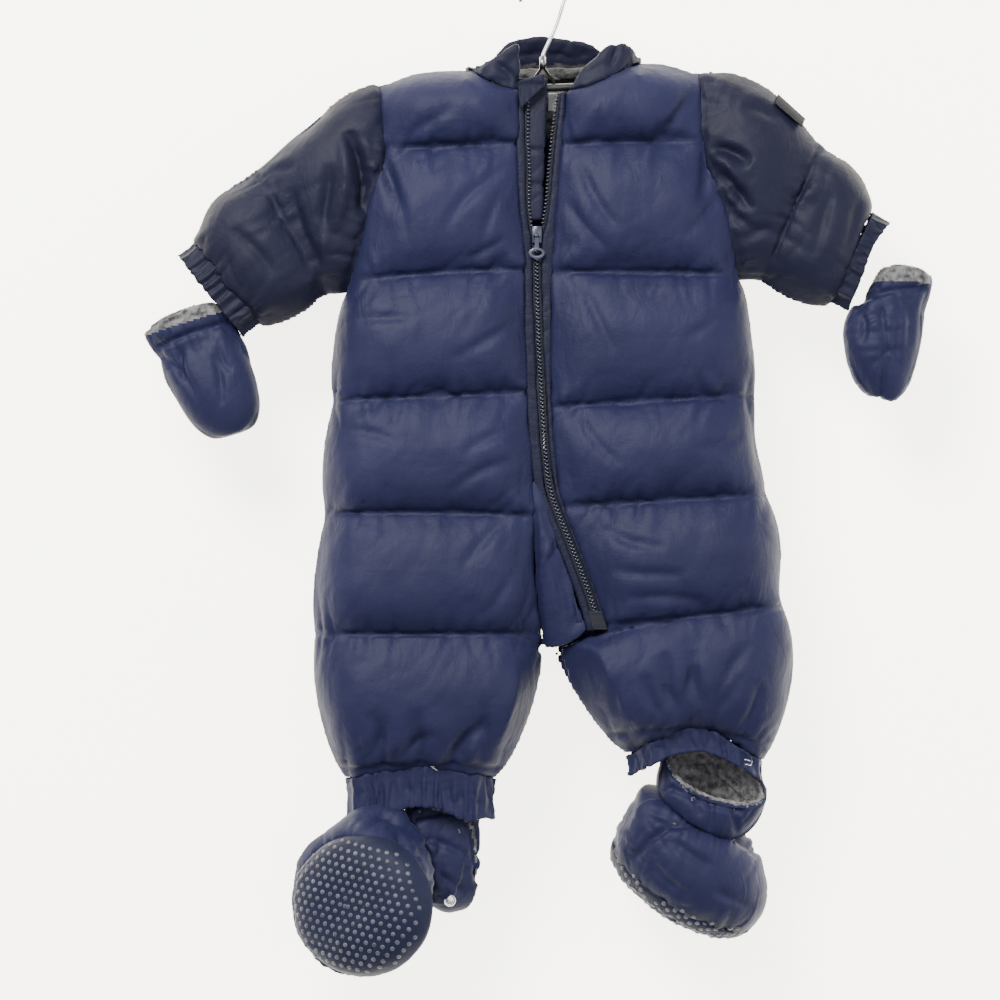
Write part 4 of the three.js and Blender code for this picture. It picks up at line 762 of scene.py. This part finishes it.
end_patch = finish(smoothed("zip_end_patch", 1, 0.6 * MM), ["zip_end_patch"], tape_weave, "shell_dark_navy")
patch_tree = [tree_of(end_patch)]
tack_rows = [[(0.034, z), (0.0475, z)] for z in (-0.4862, -0.4958)]
bar_tacks = [laid_on(patch_tree, x, z, (0, 1)) for row in tack_rows for (x, z), _ in steps(row, 1.1 * MM)]
tacks = many("zip_end_tacks", bead(1.9 * MM, 0.5 * MM, 0.4 * MM), [p for p in bar_tacks if p])
finish(tacks, [], navy_thread, "shell_dark_navy")

# The guard behind the open zip: a padded flap, quilted across, whose top corner is folded over and stitched.
guard_lines = [[(-0.018, -0.138), (0.003, -0.138)], [(-0.018, -0.164), (0.003, -0.164)]]
guard_folds = [(-18, -91, 1, -90, 2.5, -1.0), (-18, -109, 0, -92, 2, 1.2)]
guard = cover("zip_guard", guard_lines, guard_folds, 36, 0.9 * MM, pitch=4, height=1.2, reach=7, sag=0.5,
              wall=(0.3, 1.2))
finish(guard, ["zip_guard"], dark_navy, "shell_dark_navy")
guard_hem = [(-0.0175, -0.109), (-0.0005, -0.0925), (-0.0005, -0.186)]
guard_seam = stitched(guard, guard_lines + [guard_hem], 2.9, sink=0)
guard_thread = many("guard_stitching", bead(2.1 * MM, 0.42 * MM, 0.36 * MM), guard_seam)
finish(guard_thread, [], navy_thread, "shell_dark_navy")

# The guard's top corner, folded over to the front: a doubled three-cornered flap of the same cloth.
corner_sheet = bmesh.new()
fold_over = [(-0.0192, -0.0872), (0.0012, -0.0815), (0.0012, -0.0905), (-0.0175, -0.1085)]
corner_sheet.faces.new([corner_sheet.verts.new((x, -0.0215, z)) for x, z in fold_over])
bmesh.ops.subdivide_edges(corner_sheet, edges=corner_sheet.edges, cuts=7, use_grid_fill=True)
corner_rise = {v: 0.7 * MM * math.sin(v.co.x * 900 + v.co.z * 300) for v in corner_sheet.verts}
for v, rise in corner_rise.items():
    v.co.y += rise - 1.2 * MM * (v.co.z > -0.088)
guard_corner = built("guard_corner", corner_sheet)
doubled = guard_corner.modifiers.new("doubled", "SOLIDIFY")
doubled.thickness, doubled.offset = 1.6 * MM, 0
softened = guard_corner.modifiers.new("softened", "SUBSURF")
softened.levels = softened.render_levels = 2
finish(settle(guard_corner), [], dark_navy, "shell_dark_navy")

# The slider and its pull: dark painted zinc. The pull is the one part that turns, on the slider's pin.
zinc = stuff("painted_zinc", (0.016, 0.02, 0.04), 0.34, 0.3, 700, 0.04 * MM, (0.035, 0.042, 0.075), 0.5)
finish(hard_part("zip_slider", 0.25 * MM), ["zip_slider"], zinc, "zip_metal")
finish(hard_part("zip_pull", 0.2 * MM), ["zip_pull"], zinc, "zip_metal", "zip_pull")

# The hood: three padded panels of the darker cloth that stand up round the neck, lined with grey fleece that shows
# where the neck is open. Inside the middle panel that fleece is painted much darker, as painted shade in the hollow
# of the hood. Each front panel has a small dart.


def stand_up(piece):
    """Raises the rim of the hood's middle panel, which stands up behind the hook."""
    points, _ = read_mesh(piece)
    share = ramp(points[:, 2], -0.115, -0.06) * ramp(-np.abs(points[:, 0] - 0.006), -0.056, -0.03)
    points[:, 2] += 15 * MM * share
    points[:, 1] -= 9 * MM * share
    move_to(piece, points)


HOOD = {
    "hood_right": {
        "seams": [line_seen((440, 69), (476, 66), (501, 55)), line_seen((492, 81), (517, 82))],
        "folds": [(-37, -73, -22, -88, 2.2, -2.0), (-60, -80, -40, -82, 3, -1.2), (-22, -66, -20, -104, 2, 0.8)],
    },
    "hood_centre": {
        "seams": [line_seen((518, 43), (540, 41), (563, 42), (586, 55))],
        "folds": [(-30, -90, -20, -150, 5, -1.8), (30, -96, 24, -160, 5, -1.6), (2, -120, 6, -180, 5, 1.4)],
        "reshape": stand_up,
    },
    "hood_left": {
        "seams": [line_seen((565, 91), (586, 55), (618, 40.5)), line_seen((656, 61), (637, 55))],
        "folds": [(56, -57, 47, -75, 2.2, -2.2), (66, -68, 58, -84, 3, -1.3), (30, -84, 44, -66, 2, 0.8)],
    },
}


def fleece(name, dark, light):
    """Mottled grey fleece: matt, with short matted pile."""
    mat = stuff(name, dark, 0.95, grain=520, relief=1.1 * MM, second=light, gloss=0.08)
    pile = mat.node_tree.nodes["Principled BSDF"]
    pile.inputs["Sheen Weight"].default_value, pile.inputs["Sheen Roughness"].default_value = 0.12, 0.6
    mat.node_tree.nodes["Noise Texture.001"].inputs["Scale"].default_value = 190
    return mat


grey_fleece = fleece("grey_fleece", (0.035, 0.035, 0.037), (0.16, 0.16, 0.165))
# The grey fleece again at about a sixth of its brightness: painted shade for the lining in the hollow of the hood.
hood_fleece_painted_shade = fleece("hood_fleece_painted_shade", (0.006, 0.006, 0.0065), (0.04, 0.04, 0.043))
for seed, (node, cut) in enumerate(HOOD.items()):
    hood = cover(node, cut["seams"], cut["folds"], 60 + seed, 1.8 * MM, 6.5, 2.0, 10, 0.7, (1, 3.5),
                 reshape=cut.get("reshape"))
    finish(hood, [node], dark_navy, "shell_dark_navy")
    # Faces inside the middle panel that face forward take the darker fleece, which is painted shade where the hood is
    # hollow.
    hood.data.materials.append(hood_fleece_painted_shade)
    for face in hood.data.polygons:
        faces_forward = face.normal.y < -0.15 and face.center.y > 0.004
        if node == "hood_centre" and faces_forward and -0.17 < face.center.z < -0.064:
            face.material_index = 1


def tufts(name, piece, every, seed, edge=None):
    """Short curls of pile that stand on a fleece piece, or on what lies above an edge line of a piece."""
    points, normals = read_mesh(piece)
    chosen = np.arange(seed, len(points), every)
    if edge:
        (x0, z0), (x1, z1) = edge
        line = z0 + (z1 - z0) * (points[chosen, 0] - x0) / (x1 - x0)
        chosen = chosen[points[chosen, 2] > line]
    places = []
    for k in chosen:
        lean = Vector((math.sin(k * 12.9), math.sin(k * 7.3 + 1), math.sin(k * 3.7 + 2)))
        out = (Vector(normals[k]) + 0.9 * lean).normalized()
        turn = out.to_track_quat("X", "Z").to_matrix().to_4x4()
        turn.translation = Vector(points[k]) + 0.25 * MM * Vector(normals[k])
        places.append(turn)
    return many(name, bead(1.7 * MM, 0.5 * MM, 0.45 * MM), places)


def fleece_piece(node, seed, every, flat, reshape=None):
    """A fleece facing with its pile. The flat size is not used."""
    facing = smoothed(node, 1, 1.05 * MM)
    if reshape:
        reshape(facing)
    points, normals = read_mesh(facing)
    nap = 0.35 * MM * noise(points[:, 0] / (2.2 * MM), (points[:, 2] + points[:, 1]) / (2.2 * MM), seed)
    push(facing, points, normals, nap)
    finish(facing, [node], grey_fleece, "fleece_grey")
    pile = finish(tufts(f"{node}_pile", facing, every, seed), [], grey_fleece, "fleece_grey")
    return facing


# The neck: fleece facing behind the hanger bar, with a plain woven label sewn to it.
fleece_piece("neck_lining", 3, 8, (0.087, 0.044))
label = finish(smoothed("neck_label", 1, 0.5 * MM), ["neck_label"],
               tape_cloth("label_weave", (0.55, 0.57, 0.53), 300, 0.1 * MM), "label_cloth")

# The mittens: navy padded bags gathered at the wrist, with grey fleece at the mouth. A seam runs down the left one.
MITTENS = {
    "mitten_right": {
        "seams": [line_seen((158, 345), (190, 332), (226, 322)), line_seen((139, 329), (225, 299))],
        "folds": [(-290, -290, -262, -330, 3.5, -1.7), (-252, -292, -240, -330, 3, -1.5),
                  (-276, -286, -268, -312, 2.5, -1.6), (-246, -280, -232, -304, 2.5, -1.4)],
        "mouth": line_seen((145, 334), (226, 309)),
        "lining": (0.022, 0.125),
    },
    "mitten_left": {
        "seams": [line_seen((860, 300), (892, 290), (926, 286)), line_seen((883, 310), (886, 350), (884, 395))],
        "folds": [(240, -256, 238, -284, 3, -1.6), (272, -254, 276, -286, 3, -1.4), (262, -262, 272, -300, 3, -1.4)],
        "mouth": line_seen((868, 279), (932, 282)),
        "lining": (0.02, 0.095),
    },
}
for seed, (node, cut) in enumerate(MITTENS.items()):
    mitten = cover(node, cut["seams"], cut["folds"], 70 + seed, 1.6 * MM, 4.8, 4.0, 13, 0.9, (0.8, 3), draw=2.2)
    finish(mitten, [node], navy, "shell_navy")
    mitten.data.materials.append(grey_fleece)
    (x0, z0), (x1, z1) = cut["mouth"]
    for face in mitten.data.polygons:
        if face.center.z > z0 + (z1 - z0) * (face.center.x - x0) / (x1 - x0):
            face.material_index = 1
    pile = tufts(f"{node}_mouth_pile", mitten, 3, 5, cut["mouth"])
    finish(pile, [], grey_fleece, "fleece_grey")
    fleece_piece(node.replace("mitten", "mitten_lining"), 5 + seed, 8, cut["lining"])
    seam = stitched(mitten, cut["seams"], 2.8)
    finish(many(f"{node}_stitching", bead(2 * MM, 0.42 * MM, 0.36 * MM), seam), [], navy_thread, "shell_navy")

# The booties: a padded navy upper round a stiffer sole, a gathered shaft and fleece at its mouth. The right one hangs
# with its sole to the front; the left one is seen from above its toe.
SOLES = {
    "right": {"centre": (-151, -48, -701.6), "up": (0.55, 0.83, -0.02), "toe": (-0.15, 0.1, -0.98), "half": (48, 43),
              "shift": Vector((0.012, 0, 0))},
    "left": {"centre": (103, 34, -702), "up": (0.47, -0.38, 0.8), "toe": (0.81, -0.042, -0.585), "half": (57, 38),
             "shift": Vector((0, 0, 0))},
}


def sole_frame(cut):
    """The middle of a sole, and its directions to the toe, across it and up into the bootie."""
    up = Vector(cut["up"]).normalized()
    toe = Vector(cut["toe"])
    toe = (toe - up * toe.dot(up)).normalized()
    return Vector(cut["centre"]) * MM, toe, up.cross(toe), up


def sole_ring(cut, share, lift):
    """A line round a sole at a share of its half sizes, a little above it."""
    middle, toe, across, up = sole_frame(cut)
    long, wide = (half * share * MM for half in cut["half"])
    turns = [k / 40 * 2 * math.pi for k in range(41)]
    return [tuple(middle + toe * long * math.cos(a) + across * wide * math.sin(a) + up * lift * MM) for a in turns]


BOOTIES = {
    "bootie_upper_right": {
        "seams": [
            sole_ring(SOLES["right"], 1.0, 5),
            line_seen((382, 817), (408, 826), (423, 847), (432, 862), (432, 901)),
        ],
        "folds": [(-186, -650, -150, -642, 4, -1.6), (-120, -640, -100, -664, 3, -2.0), (-112, -650, -94, -680, 3, -1.8),
                  (-98, -690, -92, -714, 3, -1.6)],
    },
    "bootie_shaft_right": {
        "seams": [line_seen((408, 826), (432, 862), (432, 901)), line_seen((452, 807), (471, 835), (477, 885))],
        "folds": [(-100, -644, -62, -640, 3, -1.6), (-92, -660, -58, -668, 3, -1.8), (-88, -680, -56, -694, 3, -1.5),
                  (-76, -640, -66, -700, 3, -1.3)],
    },
    "bootie_upper_left": {
        "seams": [
            sole_ring(SOLES["left"], 1.0, 5),
            line_seen((635, 859), (650, 841), (671, 826), (693, 826), (737, 841), (759, 859)),
            line_seen((625, 786), (615, 818), (617, 852)),
            line_seen((673, 790), (706, 803), (741, 812)),
        ],
        "folds": [(74, -636, 104, -650, 3.5, -2.0), (66, -620, 60, -652, 4, -1.6), (92, -660, 130, -672, 4, -1.7),
                  (136, -640, 158, -660, 3, -1.8), (84, -670, 110, -700, 4, -1.4), (130, -690, 156, -712, 4, -1.4)],
    },
    "bootie_shaft_left": {
        "seams": [line_seen((673, 790), (706, 803), (741, 812)), line_seen((673, 752), (693, 771), (741, 796))],
        "folds": [(104, -612, 116, -640, 2.5, -1.8), (122, -620, 126, -650, 2.5, -1.8),
                  (140, -626, 150, -652, 2.5, -1.6)],
    },
}


def up_to_the_band(piece):
    """Widens the right upper to the sole, and draws its top up to the elastic band that it hangs from."""
    points, _ = read_mesh(piece)
    x, z = points[:, 0], points[:, 2]
    behind = ramp(points[:, 1], -0.03, -0.005)
    points[:, 2] += 17 * MM * ramp(z, -0.668, -0.64) * ramp(x, -0.165, -0.13) * behind
    points[:, 0] = -0.19 + (x + 0.19) * 1.1
    move_to(piece, points)


def into_the_band(piece):
    """Carries the right shaft's top up inside the band."""
    points, _ = read_mesh(piece)
    points[:, 2] += 15 * MM * ramp(points[:, 2], -0.668, -0.64)
    flap = (1 - ramp(points[:, 2], -0.7, -0.662)) * ramp(points[:, 0], -0.092, -0.074)
    points[:, 2] -= 11 * MM * flap
    points[:, 0] += 4 * MM * flap
    move_to(piece, points)


def mouth_up(piece):
    """Raises the back of the left bootie's mouth to the band above it."""
    points, _ = read_mesh(piece)
    points[:, 2] += 11 * MM * ramp(points[:, 2], -0.628, -0.6) * ramp(points[:, 1], -0.006, 0.008)
    move_to(piece, points)


RESHAPE = {
    "bootie_upper_right": up_to_the_band,
    "bootie_shaft_right": into_the_band,
    "bootie_shaft_left": mouth_up,
}
booties = {}
for seed, (node, cut) in enumerate(BOOTIES.items()):
    small = "shaft" in node
    bootie = cover(node, cut["seams"], cut["folds"], 80 + seed, (1.45 if small else 1.9) * MM, 5.8, 4.2, 13, 1.0, (0.8, 3),
                   reshape=RESHAPE.get(node), draw=2.4)
    booties[node] = finish(bootie, [node], navy, "shell_navy")
    bootie.data.materials.append(grey_fleece)
    points, _ = read_mesh(bootie)
    heart = Vector(points.mean(axis=0))
    for face in bootie.data.polygons:
        if (face.center - heart).dot(face.normal) < 0:
            face.material_index = 1
fleece_piece("bootie_lining_right", 7, 8, (0.022, 0.135))
fleece_piece("bootie_lining_left", 7, 8, (0.018, 0.16), mouth_up)
elastic = []
for node, cut in BOOTIES.items():
    flat_seams = [seam for seam in cut["seams"] if len(seam[0]) == 2]
    elastic += stitched(booties[node], flat_seams, 2.9)
bootie_thread = many("bootie_stitching", bead(2.1 * MM, 0.42 * MM, 0.36 * MM), elastic)
finish(bootie_thread, [], navy_thread, "shell_navy")

# The soles: navy cloth with rows of grey rubber grip dots, the toe's rows in a band of their own beyond a crease.


def pressed_flat(side):
    """Smooths the middle of a sole's outer face, and opens the right sole to the width that faces the viewer."""

    def shape(piece):
        middle, _, _, up = sole_frame(SOLES[side])
        points, normals = read_mesh(piece)
        height = (points - np.array(middle)) @ np.array(up)
        from_axis = np.linalg.norm(points - np.array(middle) - height[:, None] * np.array(up), axis=1)
        outer = (normals @ np.array(up) < -0.2) & (from_axis < 26 * MM)
        level = height[outer & (from_axis > 18 * MM)].mean()
        drop = np.where(height < level + 6 * MM, (level - height) * (1 - ramp(from_axis, 14 * MM, 19 * MM)), 0)
        inner_face = (height > level + 1.2 * MM) & (normals @ np.array(up) > 0.2)
        points += np.where(inner_face, 0, drop)[:, None] * np.array(up)
        if side == "right":
            points[:, 0] = -0.19 + (points[:, 0] + 0.19) * 1.27
        move_to(piece, points)

    return shape


sole_cloth = shell_cloth("sole_canvas", (0.006, 0.007, 0.02), (0.01, 0.012, 0.032), 0.5)
DOT_PITCH = 6.5 * MM
dots = []
for seed, (side, cut) in enumerate(SOLES.items()):
    node = f"bootie_sole_{side}"
    middle, toe, across, up = sole_frame(cut)
    crease = [tuple(middle + toe * 33 * MM + across * s * 30 * MM - up * 4 * MM) for s in (-1, 0, 1)]
    sole = cover(node, [sole_ring(cut, 0.97, -2), crease], [], 90 + seed, None, 5, 1.3, 8, 0.6, (1, 3), draw=0.8,
                 reshape=pressed_flat(side))
    finish(sole, [node], sole_cloth, "grip_sole")
    trees = [tree_of(sole)]
    for i in range(-12, 13):
        for j in range(-11, 12):
            a, b = i * DOT_PITCH * 0.866, (j + (i % 2) / 2) * DOT_PITCH
            start = middle + cut["shift"] + toe * a + across * b - up * 0.06
            spot, normal = trees[0].ray_cast(start, up, 0.12)[:2]
            round_it = [start + d * 3.6 * MM for d in (toe, -toe, across, -across)]
            inside = all(trees[0].ray_cast(near, up, 0.12)[0] is not None for near in round_it)
            if spot is not None and inside and normal.dot(up) < -0.4:
                place = normal.to_track_quat("Z", "X").to_matrix().to_4x4()
                place.translation = spot - normal * 0.1 * MM
                dots.append(place)
upper = booties["bootie_upper_left"]
upper.data.materials.append(sole_cloth)
edge_index = len(upper.data.materials) - 1
sole_edge = line_seen((600, 846), (625, 862), (650, 895), (683, 909), (716, 922), (759, 933), (790, 936))
for face in upper.data.polygons:
    if face.center.z < np.interp(face.center.x, *zip(*sole_edge)):
        face.material_index = edge_index
middle_dot = laid_on([tree_of(bpy.data.objects["bootie_sole_right_cloth"])], -0.1468, -0.7011, (1, 0), -1, 0.1 * MM)
dots.append(middle_dot)
edge_trees = [tree_of(upper), trees[0]]
for i in range(30):
    for j in range(16):
        x, z = (0.052 + (i + (j % 2) / 2) * 5.6 * MM, -0.745 + j * 5 * MM)
        if z > np.interp(x, *zip(*sole_edge)) - 2.2 * MM:
            continue
        place = laid_on(edge_trees, x, z, (1, 0), -1, 0.1 * MM)
        if place:
            dots.append(place)
dot = bmesh.new()
bmesh.ops.create_uvsphere(dot, u_segments=8, v_segments=5, radius=0.5)
bmesh.ops.scale(dot, verts=dot.verts, vec=(3.9 * MM, 3.9 * MM, 1.5 * MM))
bmesh.ops.triangulate(dot, faces=dot.faces)
dot.verts.index_update()
grips = many("sole_grip_dots", dot, dots)
finish(grips, [], stuff("grip_rubber", (0.03, 0.034, 0.05), 0.55, grain=900, second=(0.06, 0.066, 0.09)), "grip_sole")

# The snap on the right bootie's strap: a plain pressed steel cap.
steel = stuff("pressed_steel", (0.6, 0.6, 0.6), 0.22, 1.0, 500, 0.02 * MM, (0.75, 0.74, 0.72), 0.6)
cap = bmesh.new()
bmesh.ops.create_cone(cap, cap_ends=True, segments=36, radius1=4.9 * MM, radius2=4.2 * MM, depth=1.8 * MM)
top = max(cap.faces, key=lambda face: face.calc_center_median().z)
bmesh.ops.inset_individual(cap, faces=[top], thickness=0.9 * MM)
bmesh.ops.translate(cap, verts=top.verts, vec=(0, 0, -0.35 * MM))
bmesh.ops.inset_individual(cap, faces=[top], thickness=1.5 * MM)
bmesh.ops.translate(cap, verts=top.verts, vec=(0, 0, 0.3 * MM))
snap_cap = built("snap_cap", cap)
snap_x, snap_z = seen_at(449, 903)
seat = laid_on([tree_of(booties["bootie_shaft_right"])], snap_x, snap_z, (1, 0), -1, -0.6 * MM)
facing = Matrix.Rotation(math.radians(90), 4, "X")
facing.translation = seat.translation
snap_cap.data.transform(facing)
rolled = snap_cap.modifiers.new("rolled", "BEVEL")
rolled.width, rolled.segments, rolled.angle_limit = 0.3 * MM, 2, math.radians(30)
settle(snap_cap)
finish(snap_cap, ["bootie_snap_right"], steel, "steel_wire")

# White thread left at the ankles: a bar tack on the right band and a small loop on the left one.
tack = [laid_on([tree_of(bands["leg_cuff_right"]), tree_of(shell["front_right"])], x * MM, z * MM, (1, -0.2))
        for x, z in ((-83, -601), (-82, -602.2), (-80.5, -603.4))]
loop = [laid_on([tree_of(bands["leg_cuff_left"]), tree_of(shell["front_left"])], x * MM, z * MM, along)
        for x, z, along in ((152, -596, (1, 0)), (154.5, -596.5, (1, -0.3)), (157, -598, (0.6, -0.8)),
                            (153, -599.5, (1, 0)), (155.5, -600, (1, 0.2)))]
marks = many("white_thread_marks", bead(3.4 * MM, 0.8 * MM, 0.7 * MM), [p for p in tack + loop if p])
finish(marks, [], white_thread, "label_cloth")

# The hanger: a bent steel wire hook whose struts hold a slim black bar across the shoulders.
wire = stuff("bright_wire", (0.2, 0.2, 0.21), 0.28, 1.0, 300, 0.02 * MM, (0.66, 0.66, 0.68), 0.6)
finish(hard_part("hanger_hook", 0), ["hanger_hook"], wire, "steel_wire")
plastic = stuff("black_plastic", (0.008, 0.008, 0.01), 0.35, grain=500)
finish(hard_part("hanger_bar", 0.3 * MM), ["hanger_bar"], plastic, "black_plastic")
